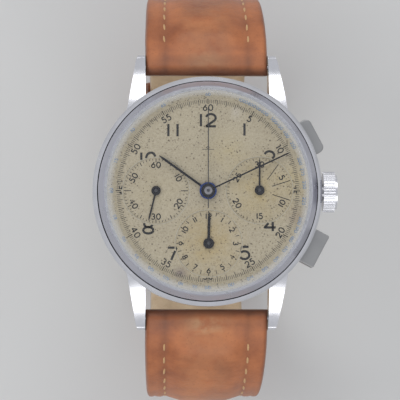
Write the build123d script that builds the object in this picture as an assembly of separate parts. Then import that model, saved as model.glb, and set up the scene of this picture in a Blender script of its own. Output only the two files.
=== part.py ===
from build123d import *
import math
import os

# Three-register mechanical chronograph wristwatch on a leather strap.
# Millimetres. The dial faces +Z, twelve o'clock is +Y and three o'clock is +X.
# The origin is the centre of the case back's flat outer face.

# ---------------------------------------------------------------- driving dimensions
# Case
case_diameter = 37.5
case_bore_margin = 3.45
case_bottom_height = 1.6
case_flange_height = 7.4
case_rim_margin = 1.55
case_rim_top = 8.55
case_edge_rounding = 0.35
case_lower_chamfer = 0.5
case_lower_chamfer_height = 0.8
back_plate_thickness = 0.8
back_face_margin = 3.15
back_skirt_margin = 1.15
back_spigot_wall = 0.6
back_spigot_length = 0.7
slip_clearance = 0.05
bezel_foot_gap = 0.05
bezel_outer_margin = 0.9
bezel_top_margin = 1.7
seam_width = 0.18
seam_depth = 0.35
bezel_top = 9.45
bezel_ledge_width = 0.4
bezel_ledge_thickness = 0.2
bezel_rise_start = 0.5
crystal_margin = 1.85
crystal_wall = 0.7
crystal_shoulder = 9.9
crystal_rise = 2.3
crystal_thickness = 1.1
crystal_inner_drop = 0.4

# Lugs and spring bars
strap_width = 20.0
strap_side_clearance = 0.1
lug_root_width = 2.95
lug_tip_width = 1.15
lug_start_reach = 10.5
lug_root_reach = 13.85
lug_length = 3.85
lug_root_top = 6.9
lug_middle_reach = 18.0
lug_middle_top = 5.7
lug_tip_top = 3.0
lug_tip_bottom = 0.9
lug_tip_rounding = 0.5
spring_bar_setting = 1.85
spring_bar_height = 2.4
spring_bar_radius = 0.75
spring_bar_pin_radius = 0.4
spring_bar_pin_length = 1.5
spring_bar_pin_depth = 0.9

# Crown, stem and pushers
stem_height = 4.6
stem_radius = 0.6
stem_inner_end = 9.6
stem_groove_place = 11.75
stem_groove_width = 0.3
stem_groove_depth = 0.2
crown_radius = 3.32
crown_gap = 0.2
crown_length = 2.25
crown_dome = 0.35
crown_dome_share = 0.86
crown_cap_thickness = 0.6
crown_seat_clearance = 0.15
crown_teeth = 42
crown_tooth_depth = 0.18
crown_pull_travel = 0.9
running_clearance = 0.06
crown_tube_wall = 0.64
crown_tube_reach = 1.15
pusher_angle = 28
pusher_width = 5.9
pusher_height = 2.7
pusher_sink = 0.45
pusher_top_length = 1.55
pusher_bottom_length = 2.35
pusher_top_rounding = 0.9
pusher_bottom_rounding = 0.35
pusher_edge_rounding = 0.18
pusher_travel = 1.0
pusher_stem_radius = 0.5
pusher_stem_gap = 0.05
pusher_pocket_depth = 1.75
pusher_pocket_clearance = 0.1
pusher_tube_wall = 0.35
pusher_spring_wire = 0.09
pusher_spring_radius = 1.15

# Movement
movement_diameter = 29.3
plate_bottom = 5.6
plate_thickness = 1.6
bridge_bottom = 2.9
bridge_thickness = 0.7
chronograph_bridge_bottom = 0.95
chronograph_bridge_thickness = 0.3
bridge_gap = 0.2
movement_ring_clearance = 0.05
pivot_radius = 0.12
arbor_radius = 0.26
arbor_clearance = 0.05
end_shake = 0.05
jewel_radius = 0.55
jewel_thickness = 0.35

# Dial and registers: the places of the three small dials
dial_margin = 2.15
dial_bottom = 7.95
dial_thickness = 0.4
register_radius = 5.4
register_depth = 0.12
seconds_place = (-8.45, 0.0)
minutes_place = (8.4, 0.1)
hours_place = (0.1, -8.55)

# Hands: lengths, widths and the way each one points, in degrees clockwise from twelve
hand_thickness = 0.1
hour_hand_length = 9.8
hour_hand_width = 0.37
hour_hand_way = 305.5
minute_hand_length = 14.7
minute_hand_width = 0.25
minute_hand_way = 64.9
chrono_hand_length = 13.6
chrono_hand_width = 0.15
chrono_hand_tail = 2.85
chrono_hand_way = 0
small_hand_length = 5.0
small_hand_width = 0.26
small_seconds_way = 194
hour_hand_hub = 1.39
minute_hand_hub = 1.15
chrono_hand_hub = 0.9
small_seconds_hub = 0.76
minute_counter_hub = 0.8
hour_counter_hub = 0.87
hour_counter_width = 0.42
hand_sink = 0.12
hour_hand_lift = 0.62
minute_hand_lift = 0.92
chrono_hand_lift = 1.22

# Going train: teeth and modules of each pair
barrel_teeth = 78
centre_pinion_teeth = 10
barrel_module = 0.16
centre_teeth = 64
third_pinion_teeth = 8
centre_module = 0.14
third_teeth = 60
fourth_pinion_teeth = 8
third_module = 0.125
fourth_teeth = 70
escape_pinion_teeth = 7
fourth_module = 0.1
escape_teeth = 15
escape_radius = 1.6
barrel_way = 53.4
escape_way = -80
pallet_distance = 2.05
balance_place = (-4.5, -9.0)
balance_radius = 4.2
balance_rim_width = 0.5

# Winding and motion works
ratchet_module = 0.2
ratchet_teeth = 34
crown_wheel_teeth = 30
crown_wheel_reach = 10.2
winding_pinion_teeth = 15
winding_pinion_length = 1.6
motion_module = 0.14
cannon_teeth = 14
minute_wheel_teeth = 42
minute_pinion_teeth = 10
hour_wheel_teeth = 40
minute_wheel_way = 60

# Chronograph works
chrono_module = 0.1
chrono_runner_teeth = 74
clutch_teeth = 30
drive_teeth = 35
clutch_open_turn = 14
minute_runner_teeth = 30
minute_runner_module = 0.13
hour_runner_teeth = 48
hour_runner_module = 0.1
column_place = (10.6, -3.4)
column_wheel_radius = 1.5
column_count = 6
lever_thickness = 0.25
lever_width = 1.2
operating_lever_pivot_way = 58
hammer_pivot_way = -60
lever_pivot_reach = 12.8
lever_tab_setting = 0.3
lever_tab_thickness = 0.5
lever_leg_width = 1.2
lever_leg_offset = 1.4
lever_leg_thickness = 0.35
lever_leg_setback = 0.2
lever_foot_length = 1.4

# Strap: a closed loop of arcs, worn on the wrist below the case
strap_end_width = 16.0
strap_taper_height = 44.0
strap_thin_thickness = 2.4
strap_roll_radius = 1.45
strap_roll_rise = 0.1
strap_bar_clearance = 0.08
strap_start_slope = 20
strap_half_extent = 32.5
strap_turn_radius = 27.0
strap_layer_offset = 5.4
strap_tail_turn = 32
strap_hole_radius = 0.9
strap_hole_count = 6
strap_hole_pitch = 5.0
buckle_place = 3.0
buckle_length = 10.0
buckle_opening = 17.0
buckle_wire = 1.7
buckle_bar_radius = 0.7
tongue_width = 1.6
tongue_thickness = 0.7
keeper_length = 4.6
keeper_wall = 0.9
keeper_side_clearance = 0.3
keeper_spare_height = 1.4
keeper_lower_clearance = 0.15
buckle_corner_rounding = 1.6
buckle_edge_rounding = 0.5
fixed_keeper_turn = 14
free_keeper_turn = 28

# Heights of the movement's layers, from the back cover upwards, and its small sizes
chrono_wheel_bottom = 1.9
chrono_wheel_top = 2.1
lever_bottom = 1.3
ratchet_bottom = 2.4
ratchet_top = 2.8
centre_place = (0.0, 0.0)
barrel_low = 3.9
barrel_split = 4.3
barrel_high = 5.0
barrel_wall = 0.3
crown_wheel_bore = 0.6
click_bore = 0.3
centre_low = 5.12
centre_high = 5.37
third_low = 4.5
third_high = 4.7
fourth_low = 3.75
fourth_high = 3.93
escape_low = 4.6
escape_high = 4.75
pallet_bridge_low = 4.35
pallet_bridge_high = 4.5
fork_low = 4.58
fork_high = 4.76
roller_radius = 0.45
balance_low = 3.98
balance_high = 4.26
hairspring_collet = 0.5
minute_post_radius = 0.3
clutch_stud_radius = 0.25
clutch_boss_radius = 0.7
clutch_lever_low = 2.5
clutch_lever_high = 2.75
column_post_radius = 0.35
column_low = 1.4
column_deck = 1.75
column_high = 2.45
lever_post_radius = 0.4
hammer_tip = (2.9, -2.6)
chrono_foot = (6.4, -3.9)
chrono_bridge_foot = (-3.0, 4.6)
cock_foot = (-11.0, -8.0)
foot_radius = 0.8
notch_height = 0.55
barrel_arbor_radius = 0.8
barrel_core_radius = 1.2
barrel_cover_thickness = 0.15
mainspring_gap = 0.1
mainspring_thickness = 0.14
mainspring_turns = 7
pivot_clearance = 0.03
pivot_hole_depth = 0.7
lever_boss_radius = 0.9
bridge_screw_length = 3.6
chrono_screw_length = 2.4
chrono_foot_screw_length = 5.2
chrono_screw_head = 0.6
chrono_screw_thread = 0.35

# ---------------------------------------------------------------- derived places
case_radius = case_diameter / 2
case_bore_radius = case_radius - case_bore_margin
case_rim_radius = case_radius - case_rim_margin
back_face_radius = case_radius - back_face_margin
back_skirt_radius = case_radius - back_skirt_margin
bezel_outer_radius = case_radius - bezel_outer_margin
bezel_top_radius = case_radius - bezel_top_margin
crystal_radius = case_radius - crystal_margin
dial_radius = case_radius - dial_margin
lug_gap = strap_width + 2 * strap_side_clearance
lug_reach = case_radius + lug_length
spring_bar_reach = case_radius + spring_bar_setting
crown_inner_face = case_radius + crown_gap
crown_tube_end = case_radius + crown_tube_reach
pusher_inner_face = case_radius - pusher_sink
pusher_top_reach = case_radius + pusher_top_length
pusher_bottom_reach = case_radius + pusher_bottom_length
pusher_pocket_floor = case_radius - pusher_pocket_depth
plate_radius = movement_diameter / 2
pusher_stem_end = plate_radius + pusher_stem_gap
lever_tab_reach = plate_radius - lever_tab_setting
plate_top = plate_bottom + plate_thickness
bridge_top = bridge_bottom + bridge_thickness
dial_top = dial_bottom + dial_thickness
shaft_hole = arbor_radius + arbor_clearance
centre_arbor_radius = shaft_hole + 0.28
cannon_outer = centre_arbor_radius + 0.25
hour_tube_bore = cannon_outer + arbor_clearance
hour_tube_radius = hour_tube_bore + 0.25
crown_tube_bore = stem_radius + running_clearance
crown_tube_radius = crown_tube_bore + crown_tube_wall
pusher_tube_bore = pusher_stem_radius + running_clearance
pusher_tube_radius = pusher_tube_bore + pusher_tube_wall
lug_inner = lug_gap / 2
motion_bottom = plate_top + 0.05
motion_split = motion_bottom + 0.3
motion_top = motion_bottom + 0.6


def place_at(way, reach, centre=(0, 0)):
    """Point at an angle in degrees from +X and a distance from a centre."""
    angle = math.radians(way)
    return (centre[0] + reach * math.cos(angle), centre[1] + reach * math.sin(angle))


def distance(first, second):
    return math.hypot(second[0] - first[0], second[1] - first[1])


def direction(first, second):
    return math.degrees(math.atan2(second[1] - first[1], second[0] - first[0]))


def meeting_point(first, first_reach, second, second_reach, side):
    """Point at two given distances from two centres; side is +1 left or -1 right of the line."""
    gap = distance(first, second)
    along = (gap ** 2 + first_reach ** 2 - second_reach ** 2) / (2 * gap)
    lift = math.degrees(math.acos(along / first_reach)) * side
    return place_at(direction(first, second) + lift, first_reach, first)


def pair_reach(module, teeth, partner_teeth):
    return module * (teeth + partner_teeth) / 2


def meshing_turn(teeth, turn, partner_teeth, towards):
    """Turn of a partner wheel so that its gaps meet this wheel's teeth."""
    pitch = 360 / teeth
    share = ((turn - towards) % pitch) / pitch
    return towards + 180 + 360 / partner_teeth * (0.5 - share)


# ---------------------------------------------------------------- shapes
def disc(radius, low, high, centre=(0, 0)):
    return Pos(centre[0], centre[1], low) * extrude(Circle(radius), high - low)


def tube(outer, inner, low, high, centre=(0, 0)):
    return disc(outer, low, high, centre) - disc(inner, low, high, centre)


def turned(points):
    """Solid of revolution about Z from (radius, height) points."""
    profile = make_face(Polyline(*points, close=True))
    return revolve(Plane.XZ * profile, Axis.Z)


def wheel(teeth, module, low, high, centre, turn=0, bore=0):
    """Toothed wheel with straight-sided teeth; one tooth points along its turn."""
    pitch_radius = module * teeth / 2
    tip = pitch_radius + 0.8 * module
    root = pitch_radius - 1.1 * module
    half = 90 / teeth
    points = []
    for tooth in range(teeth):
        middle = turn + 360 / teeth * tooth
        for radius, share in ((root, -1.2), (tip, -0.42), (tip, 0.42), (root, 1.2)):
            points.append(place_at(middle + share * half, radius))
    solid = extrude(make_face(Polyline(*points, close=True)), high - low)
    if bore:
        solid -= extrude(Circle(bore), high - low)
    return Pos(centre[0], centre[1], low) * solid


def spoked(solid, centre, outer, inner, low, high, count, spoke_width):
    """Cuts the openings between a wheel's spokes."""
    window = tube(outer, inner, low, high, centre)
    for index in range(count):
        bar = Box(2 * outer, spoke_width, high - low)
        turn = Rot(0, 0, 180 / count * index)
        window -= Pos(centre[0], centre[1], (low + high) / 2) * turn * bar
    return solid - window


def link(first, second, width, low, high):
    """Flat bar with round ends between two points."""
    bar = extrude(SlotCenterToCenter(distance(first, second), width), high - low)
    middle = ((first[0] + second[0]) / 2, (first[1] + second[1]) / 2)
    return Pos(middle[0], middle[1], low) * Rot(0, 0, direction(first, second)) * bar


def arbor(centre, low, high, low_pivot, high_pivot, radius=arbor_radius):
    """Arbor between two plates with a thinner pivot at each end."""
    body = disc(radius, low + end_shake, high - end_shake, centre)
    return body + disc(pivot_radius, low_pivot, high_pivot, centre)


def spiral(inner, outer, turns, thickness, low, high, centre):
    """Flat spiral spring."""
    steps = turns * 20
    edge = []
    for side in (1, -1):
        run = []
        for step in range(steps + 1):
            radius = inner + (outer - inner) * step / steps + side * thickness / 2
            run.append(place_at(18 * step, radius))
        edge += run if side == 1 else run[::-1]
    face = make_face(Polyline(*edge, close=True))
    return Pos(centre[0], centre[1], low) * extrude(face, high - low)


def along_radius(way, solid):
    """Turns a solid made along +X to a radial direction."""
    return Rot(0, 0, way) * solid


def rod(radius, start, end, height):
    """Round rod along +X at a height."""
    return Pos(start, 0, height) * Rot(0, 90, 0) * extrude(Circle(radius), end - start)


nodes = {}
jewels = []
screws = []

# ---------------------------------------------------------------- case
back_spigot_radius = case_bore_radius - slip_clearance
back_inner = back_spigot_radius - back_spigot_wall
back_outline = [(0, 0), (back_face_radius, 0), (back_skirt_radius, back_plate_thickness),
                (back_skirt_radius, case_bottom_height), (back_spigot_radius, case_bottom_height),
                (back_spigot_radius, case_bottom_height + back_spigot_length),
                (back_inner, case_bottom_height + back_spigot_length),
                (back_inner, back_plate_thickness), (0, back_plate_thickness)]
nodes["case_back"] = turned(back_outline)

rim_inner = dial_radius + slip_clearance
lower_edge = case_radius - case_lower_chamfer
case_outline = [(case_bore_radius, case_bottom_height), (lower_edge, case_bottom_height),
                (case_radius, case_bottom_height + case_lower_chamfer_height), (case_radius,
                    case_flange_height - case_edge_rounding),
                (case_radius - case_edge_rounding, case_flange_height), (case_rim_radius, case_flange_height),
                (case_rim_radius, case_rim_top), (rim_inner, case_rim_top), (rim_inner, dial_bottom),
                (case_bore_radius, dial_bottom)]
case_middle = turned(case_outline)
case_middle -= tube(bezel_outer_radius + seam_width, bezel_outer_radius, case_flange_height - seam_depth,
                    case_flange_height)

lug_top_start = (lug_start_reach, lug_root_top)
lug_top_end = (lug_reach - lug_tip_rounding, lug_tip_top)
lug_round_middle = (lug_reach - 0.3 * lug_tip_rounding, lug_tip_top - 0.6 * lug_tip_rounding)
lug_round_end = (lug_reach, lug_tip_top - 1.4 * lug_tip_rounding)
lug_side = [ThreePointArc(lug_top_start, (lug_middle_reach, lug_middle_top), lug_top_end),
            ThreePointArc(lug_top_end, lug_round_middle, lug_round_end),
            Polyline(lug_round_end, (lug_reach, lug_tip_bottom), (lug_middle_reach, lug_tip_bottom + 0.2),
                     (lug_start_reach, case_bottom_height), lug_top_start)]
lug_profile = extrude(Plane.YZ * make_face(lug_side), case_radius)
lug_plan = [(lug_inner, 10), (lug_inner, lug_reach), (lug_inner + lug_tip_width, lug_reach),
            (lug_inner + lug_tip_width + 0.35, lug_reach - 0.8), (lug_inner + lug_root_width, lug_root_reach),
            (lug_inner + lug_root_width + 0.9, 10)]
lug = lug_profile & extrude(make_face(Polyline(*lug_plan, close=True)), case_flange_height)
lug -= disc(case_bore_radius + 1, 0, case_flange_height)
lug -= disc(back_skirt_radius + slip_clearance, 0, case_bottom_height)
lug -= Pos(lug_inner - 1, spring_bar_reach, spring_bar_height) * Rot(0, 90, 0) \
    * extrude(Circle(spring_bar_pin_radius), lug_root_width + 2)
for flip in (lug, mirror(lug, Plane.YZ)):
    case_middle += flip
    case_middle += mirror(flip, Plane.XZ)

case_middle -= rod(crown_tube_radius, case_bore_radius - 1, case_radius + 1, stem_height)
pocket_reach = case_radius - pusher_pocket_floor + 1
for way in (pusher_angle, -pusher_angle):
    pocket = Pos(pusher_pocket_floor + pocket_reach / 2, 0, stem_height) * Box(
        pocket_reach, pusher_width + 2 * pusher_pocket_clearance, pusher_height + 2 * pusher_pocket_clearance)
    case_middle -= along_radius(way, pocket)
    hole = rod(pusher_tube_radius, case_bore_radius - 1, pusher_pocket_floor + 1, stem_height)
    case_middle -= along_radius(way, hole)
nodes["case_middle"] = case_middle

bezel_bore = case_rim_radius + slip_clearance
bezel_foot = case_flange_height + bezel_foot_gap
ledge_top = case_rim_top + slip_clearance + bezel_ledge_thickness
bezel_outline = [(bezel_bore, bezel_foot), (bezel_outer_radius, bezel_foot),
                 (bezel_outer_radius, bezel_foot + bezel_rise_start), (bezel_top_radius, bezel_top),
                 (crystal_radius, bezel_top), (crystal_radius, ledge_top),
                 (crystal_radius - bezel_ledge_width, ledge_top),
                 (crystal_radius - bezel_ledge_width, case_rim_top + slip_clearance),
                 (bezel_bore, case_rim_top + slip_clearance)]
nodes["bezel"] = turned(bezel_outline)


def dome(radius, edge_height, rise):
    """Spherical cap over a flat disc, standing on a height."""
    ball = (radius ** 2 + rise ** 2) / (2 * rise)
    cap = Pos(0, 0, edge_height + rise - ball) * Sphere(ball)
    return cap & disc(radius, edge_height, edge_height + rise + 1)


crystal_inner = crystal_radius - crystal_wall
outer_shape = disc(crystal_radius, ledge_top, crystal_shoulder)
outer_shape += dome(crystal_radius, crystal_shoulder, crystal_rise)
inner_edge = crystal_shoulder - crystal_inner_drop
inner_shape = disc(crystal_inner, ledge_top, inner_edge)
inner_shape += dome(crystal_inner, inner_edge, crystal_rise + crystal_inner_drop - crystal_thickness)
nodes["crystal"] = outer_shape - inner_shape

nodes["crown_tube"] = rod(crown_tube_radius, case_bore_radius, crown_tube_end, stem_height) \
    - rod(crown_tube_bore, case_bore_radius, crown_tube_end, stem_height)
pusher_tube = rod(pusher_tube_radius, case_bore_radius, pusher_pocket_floor, stem_height) \
    - rod(pusher_tube_bore, case_bore_radius, pusher_pocket_floor, stem_height)
nodes["pusher_tubes"] = Compound([along_radius(pusher_angle, pusher_tube).solid(),
                                  along_radius(-pusher_angle, pusher_tube).solid()])


def spring_bar(reach):
    """Sprung bar between two lugs, with a thin pin at each end."""
    pin_half = lug_inner + spring_bar_pin_depth
    barrel_half = pin_half - spring_bar_pin_length
    bar = rod(spring_bar_pin_radius, -pin_half, pin_half, spring_bar_height)
    bar += rod(spring_bar_radius, -barrel_half, barrel_half, spring_bar_height)
    return Pos(0, reach, 0) * bar


nodes["spring_bars"] = Compound([spring_bar(spring_bar_reach).solid(), spring_bar(-spring_bar_reach).solid()])

# ---------------------------------------------------------------- crown, stem and pushers
crown_outer = crown_inner_face + crown_length
crown = rod(crown_radius, crown_inner_face, crown_outer - crown_dome, stem_height)
crown += rod(crown_radius * crown_dome_share, crown_outer - crown_dome, crown_outer, stem_height)
for tooth in range(crown_teeth):
    groove = rod(crown_tooth_depth, crown_inner_face - 1, crown_outer + 1, 0)
    angle = 360 / crown_teeth * tooth
    crown -= Pos(0, 0, stem_height) * Rot(angle, 0, 0) * Pos(0, crown_radius, 0) * groove
crown -= rod(crown_tube_radius + running_clearance, crown_inner_face - 1,
             crown_tube_end + crown_seat_clearance, stem_height)
crown -= rod(stem_radius, crown_tube_end, crown_outer - crown_cap_thickness, stem_height)
nodes["crown"] = crown

stem = rod(stem_radius, stem_inner_end, crown_outer - crown_cap_thickness, stem_height)
groove_start = stem_groove_place
groove_end = groove_start + stem_groove_width
groove_radius = stem_radius - stem_groove_depth
stem -= rod(stem_radius, groove_start, groove_end, stem_height) \
    - rod(groove_radius, groove_start, groove_end, stem_height)
nodes["winding_stem"] = stem

fork = Box(0.2, 2.4, 1.2)
fork -= Pos(0, 0, -0.6) * Box(0.2, 2 * (groove_radius + running_clearance), 1.2)
fork -= Pos(0, 0, 0) * Rot(0, 90, 0) * Cylinder(groove_radius + running_clearance, 0.2)
lever_place = groove_start + stem_groove_width / 2
nodes["setting_lever"] = Pos(lever_place, 0, stem_height + 0.2) * fork \
    + Pos(lever_place, 1.6, stem_height + 0.2) * Box(0.2, 1.2, 1.2)


def pusher(way, reach, rounding):
    """Rectangular cap with a round stem, made along a radius."""
    cap = Pos((pusher_inner_face + reach) / 2, 0, stem_height) * Box(
        reach - pusher_inner_face, pusher_width, pusher_height)
    cap = fillet(cap.edges().filter_by(Axis.Z).sort_by(Axis.X)[-2:], rounding)
    cap = fillet(cap.faces().sort_by(Axis.X)[-1].edges(), pusher_edge_rounding)
    cap += rod(pusher_stem_radius, pusher_stem_end, pusher_inner_face, stem_height)
    return along_radius(way, cap)


nodes["pusher_top"] = pusher(pusher_angle, pusher_top_reach, pusher_top_rounding)
nodes["pusher_bottom"] = pusher(-pusher_angle, pusher_bottom_reach, pusher_bottom_rounding)

spring_length = pusher_inner_face - pusher_pocket_floor - 4 * pusher_spring_wire
coil_path = Helix(pitch=spring_length / 3, height=spring_length, radius=pusher_spring_radius)
coil = sweep((coil_path ^ 0) * Circle(pusher_spring_wire), path=coil_path)
coil = Pos(pusher_pocket_floor + 2 * pusher_spring_wire, 0, stem_height) * Rot(0, 90, 0) * coil
nodes["pusher_springs"] = Compound([along_radius(pusher_angle, coil).solid(),
                                    along_radius(-pusher_angle, coil).solid()])

# ---------------------------------------------------------------- places of the wheels
barrel_place = place_at(barrel_way, pair_reach(barrel_module, barrel_teeth, centre_pinion_teeth))
third_place = meeting_point(centre_place, pair_reach(centre_module, centre_teeth, third_pinion_teeth),
                            seconds_place, pair_reach(third_module, third_teeth, fourth_pinion_teeth), -1)
escape_place = place_at(escape_way, pair_reach(fourth_module, fourth_teeth, escape_pinion_teeth),
                        seconds_place)
pallet_place = place_at(direction(escape_place, balance_place), pallet_distance, escape_place)
winding_reach = pair_reach(ratchet_module, ratchet_teeth, crown_wheel_teeth)
crown_wheel_place = (crown_wheel_reach,
                     barrel_place[1] - math.sqrt(winding_reach ** 2 - (crown_wheel_reach - barrel_place[0]) ** 2))
minute_wheel_place = place_at(minute_wheel_way, pair_reach(motion_module, cannon_teeth, minute_wheel_teeth))
clutch_place = place_at(-clutch_open_turn, pair_reach(chrono_module, drive_teeth, clutch_teeth),
                        seconds_place)
lever_pivot = place_at(operating_lever_pivot_way, lever_pivot_reach)
hammer_pivot = place_at(hammer_pivot_way, lever_pivot_reach)
click_place = place_at(100, winding_reach - 1.9, barrel_place)

# ---------------------------------------------------------------- going train
barrel_drum_radius = barrel_module * barrel_teeth / 2 - 0.6
barrel_shell = wheel(barrel_teeth, barrel_module, barrel_low, barrel_split, barrel_place)
barrel_shell += disc(barrel_drum_radius, barrel_split, barrel_high, barrel_place)
barrel_shell -= disc(barrel_drum_radius - barrel_wall, barrel_low + barrel_cover_thickness,
                     barrel_high - barrel_cover_thickness, barrel_place)
barrel_shell -= disc(barrel_arbor_radius + arbor_clearance, barrel_low, barrel_high, barrel_place)
nodes["barrel"] = barrel_shell
spring_low = barrel_low + barrel_cover_thickness + mainspring_gap
spring_high = barrel_high - barrel_cover_thickness - mainspring_gap
nodes["mainspring"] = spiral(1.75, barrel_drum_radius - barrel_wall - 0.15, mainspring_turns,
                             mainspring_thickness, spring_low, spring_high, barrel_place)
barrel_arbor = disc(barrel_core_radius, barrel_low + 0.2, barrel_high - 0.2, barrel_place)
barrel_arbor += disc(barrel_arbor_radius, ratchet_bottom, plate_bottom + 0.6, barrel_place)
nodes["barrel_arbor"] = barrel_arbor
ratchet_way = direction(barrel_place, crown_wheel_place)
ratchet = wheel(ratchet_teeth, ratchet_module, ratchet_bottom, ratchet_top, barrel_place, ratchet_way,
                barrel_arbor_radius)
nodes["ratchet_wheel"] = ratchet
crown_wheel_turn = meshing_turn(ratchet_teeth, ratchet_way, crown_wheel_teeth, ratchet_way)
nodes["crown_wheel"] = wheel(crown_wheel_teeth, ratchet_module, ratchet_bottom, ratchet_top,
                             crown_wheel_place, crown_wheel_turn, crown_wheel_bore + arbor_clearance)
click = link(click_place, place_at(-25, 1.1, click_place), 0.6, ratchet_bottom, ratchet_top)
click += disc(0.6, ratchet_bottom, ratchet_top, click_place)
nodes["click"] = click - disc(click_bore + arbor_clearance, ratchet_bottom, ratchet_top, click_place)

centre_wheel = wheel(centre_teeth, centre_module, centre_low, centre_high, centre_place)
centre_wheel = spoked(centre_wheel, centre_place, 3.9, 1.3, centre_low, centre_high, 4, 0.7)
centre_turn = meshing_turn(barrel_teeth, 0, centre_pinion_teeth, direction(barrel_place, centre_place))
centre_wheel += wheel(centre_pinion_teeth, barrel_module, barrel_low - 0.1, centre_low, centre_place,
                      centre_turn)
centre_wheel += disc(centre_arbor_radius, bridge_bottom + 0.1, motion_top + 0.3, centre_place)
centre_wheel -= disc(shaft_hole, bridge_bottom, motion_top + 1, centre_place)
nodes["centre_wheel"] = centre_wheel

third_way = direction(centre_place, third_place)
third_pinion_turn = meshing_turn(centre_teeth, 0, third_pinion_teeth, third_way)
third = wheel(third_teeth, third_module, third_low, third_high, third_place)
third = spoked(third, third_place, 3.2, 0.9, third_low, third_high, 4, 0.55)
third += wheel(third_pinion_teeth, centre_module, centre_low - 0.1, centre_high + 0.1, third_place,
               third_pinion_turn)
third += arbor(third_place, bridge_top, plate_bottom, bridge_bottom + 0.1, plate_bottom + 0.6)
nodes["third_wheel"] = third

fourth_way = direction(third_place, seconds_place)
fourth_turn = meshing_turn(third_teeth, 0, fourth_pinion_teeth, fourth_way)
fourth = wheel(fourth_teeth, fourth_module, fourth_low, fourth_high, seconds_place)
fourth = spoked(fourth, seconds_place, 3.0, 0.8, fourth_low, fourth_high, 4, 0.45)
fourth += wheel(fourth_pinion_teeth, third_module, third_low - 0.1, third_high + 0.1, seconds_place,
                fourth_turn)
fourth += disc(arbor_radius, chrono_wheel_bottom, dial_top + 0.3, seconds_place)
fourth += wheel(drive_teeth, chrono_module, chrono_wheel_bottom, chrono_wheel_top, seconds_place)
nodes["fourth_wheel"] = fourth

escape_way_back = direction(seconds_place, escape_place)
escape_turn = meshing_turn(fourth_teeth, 0, escape_pinion_teeth, escape_way_back)
escape_points = []
for tooth in range(escape_teeth):
    middle = 360 / escape_teeth * tooth
    escape_points.append(place_at(middle - 7, escape_radius * 0.78))
    escape_points.append(place_at(middle - 1, escape_radius))
    escape_points.append(place_at(middle + 1, escape_radius))
    escape_points.append(place_at(middle + 4, escape_radius * 0.78))
escape = extrude(make_face(Polyline(*escape_points, close=True)), escape_high - escape_low)
escape = Pos(escape_place[0], escape_place[1], escape_low) * escape
escape = spoked(escape, escape_place, escape_radius * 0.66, 0.45, escape_low, escape_high, 4, 0.22)
escape += wheel(escape_pinion_teeth, fourth_module, bridge_top + end_shake, fourth_high + 0.1,
                escape_place, escape_turn)
escape += arbor(escape_place, bridge_top, plate_bottom, bridge_bottom + 0.1, plate_bottom + 0.6, 0.2)
nodes["escape_wheel"] = escape

# ---------------------------------------------------------------- pallet fork and balance
staff_reach = distance(pallet_place, balance_place)
fork_way = direction(pallet_place, balance_place)
fork_end = place_at(fork_way, staff_reach - roller_radius - 0.3, pallet_place)
pallet_fork = link(pallet_place, fork_end, 0.3, fork_low, fork_high)
for side in (1, -1):
    horn = place_at(fork_way + 4 * side, staff_reach - roller_radius - 0.25, pallet_place)
    pallet_fork += link(fork_end, horn, 0.22, fork_low, fork_high)
    arm_end = place_at(fork_way + 125 * side, 1.05, pallet_place)
    pallet_fork += link(pallet_place, arm_end, 0.3, fork_low, fork_high)
pallet_fork += arbor(pallet_place, pallet_bridge_high, plate_bottom, pallet_bridge_low + 0.02,
                     plate_bottom + 0.5, 0.18)
pallet_fork -= disc(escape_radius + 0.1, fork_low - 1, fork_high + 1, escape_place)
nodes["pallet_fork"] = pallet_fork

balance_wheel = tube(balance_radius, balance_radius - balance_rim_width, balance_low, balance_high,
                     balance_place)
for way in (fork_way + 45, fork_way + 225):
    spoke_end = place_at(way, balance_radius - balance_rim_width / 2, balance_place)
    balance_wheel += link(balance_place, spoke_end, 0.5, balance_low, balance_high)
balance_wheel += arbor(balance_place, bridge_top, plate_bottom, bridge_bottom + 0.1, plate_bottom + 0.6, 0.3)
balance_wheel += disc(roller_radius, fork_low, fork_high + 0.2, balance_place)
nodes["balance_wheel"] = balance_wheel
nodes["hairspring"] = tube(hairspring_collet, 0.3, 3.7, 3.85, balance_place) \
    + spiral(hairspring_collet, 2.6, 9, 0.07, 3.72, 3.83, balance_place)

# ---------------------------------------------------------------- winding and motion works
pinion_low = stem_inner_end + 0.2
winding_pinion = Rot(0, 90, 0) * wheel(winding_pinion_teeth, ratchet_module, 0, winding_pinion_length,
                                       (0, 0), 0, stem_radius + running_clearance)
nodes["winding_pinion"] = Pos(pinion_low, 0, stem_height) * winding_pinion

cannon = wheel(cannon_teeth, motion_module, motion_bottom, motion_split - 0.05, centre_place)
minute_hand_bottom = dial_top + minute_hand_lift
cannon += disc(cannon_outer, motion_bottom, minute_hand_bottom, centre_place)
cannon -= disc(centre_arbor_radius, motion_bottom, motion_top + 0.3, centre_place)
cannon -= disc(shaft_hole, motion_bottom, minute_hand_bottom + 1, centre_place)
nodes["cannon_pinion"] = cannon

minute_turn = meshing_turn(cannon_teeth, 0, minute_wheel_teeth, minute_wheel_way)
hour_module = 2 * pair_reach(motion_module, cannon_teeth, minute_wheel_teeth) \
    / (minute_pinion_teeth + hour_wheel_teeth)
minute_wheel = wheel(minute_wheel_teeth, motion_module, motion_bottom, motion_split - 0.05,
                     minute_wheel_place, minute_turn)
minute_wheel += wheel(minute_pinion_teeth, hour_module, motion_bottom, motion_top - 0.05,
                      minute_wheel_place, minute_turn)
minute_wheel -= disc(minute_post_radius + arbor_clearance, motion_bottom - 1, motion_top + 1,
                     minute_wheel_place)
nodes["minute_wheel"] = minute_wheel
hour_turn = meshing_turn(minute_pinion_teeth, minute_turn, hour_wheel_teeth, minute_wheel_way + 180)
hour_hand_bottom = dial_top + hour_hand_lift
hour_wheel = wheel(hour_wheel_teeth, hour_module, motion_split + 0.02, motion_top - 0.05, centre_place,
                   hour_turn)
hour_wheel += disc(hour_tube_radius, motion_split + 0.02, hour_hand_bottom, centre_place)
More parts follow.
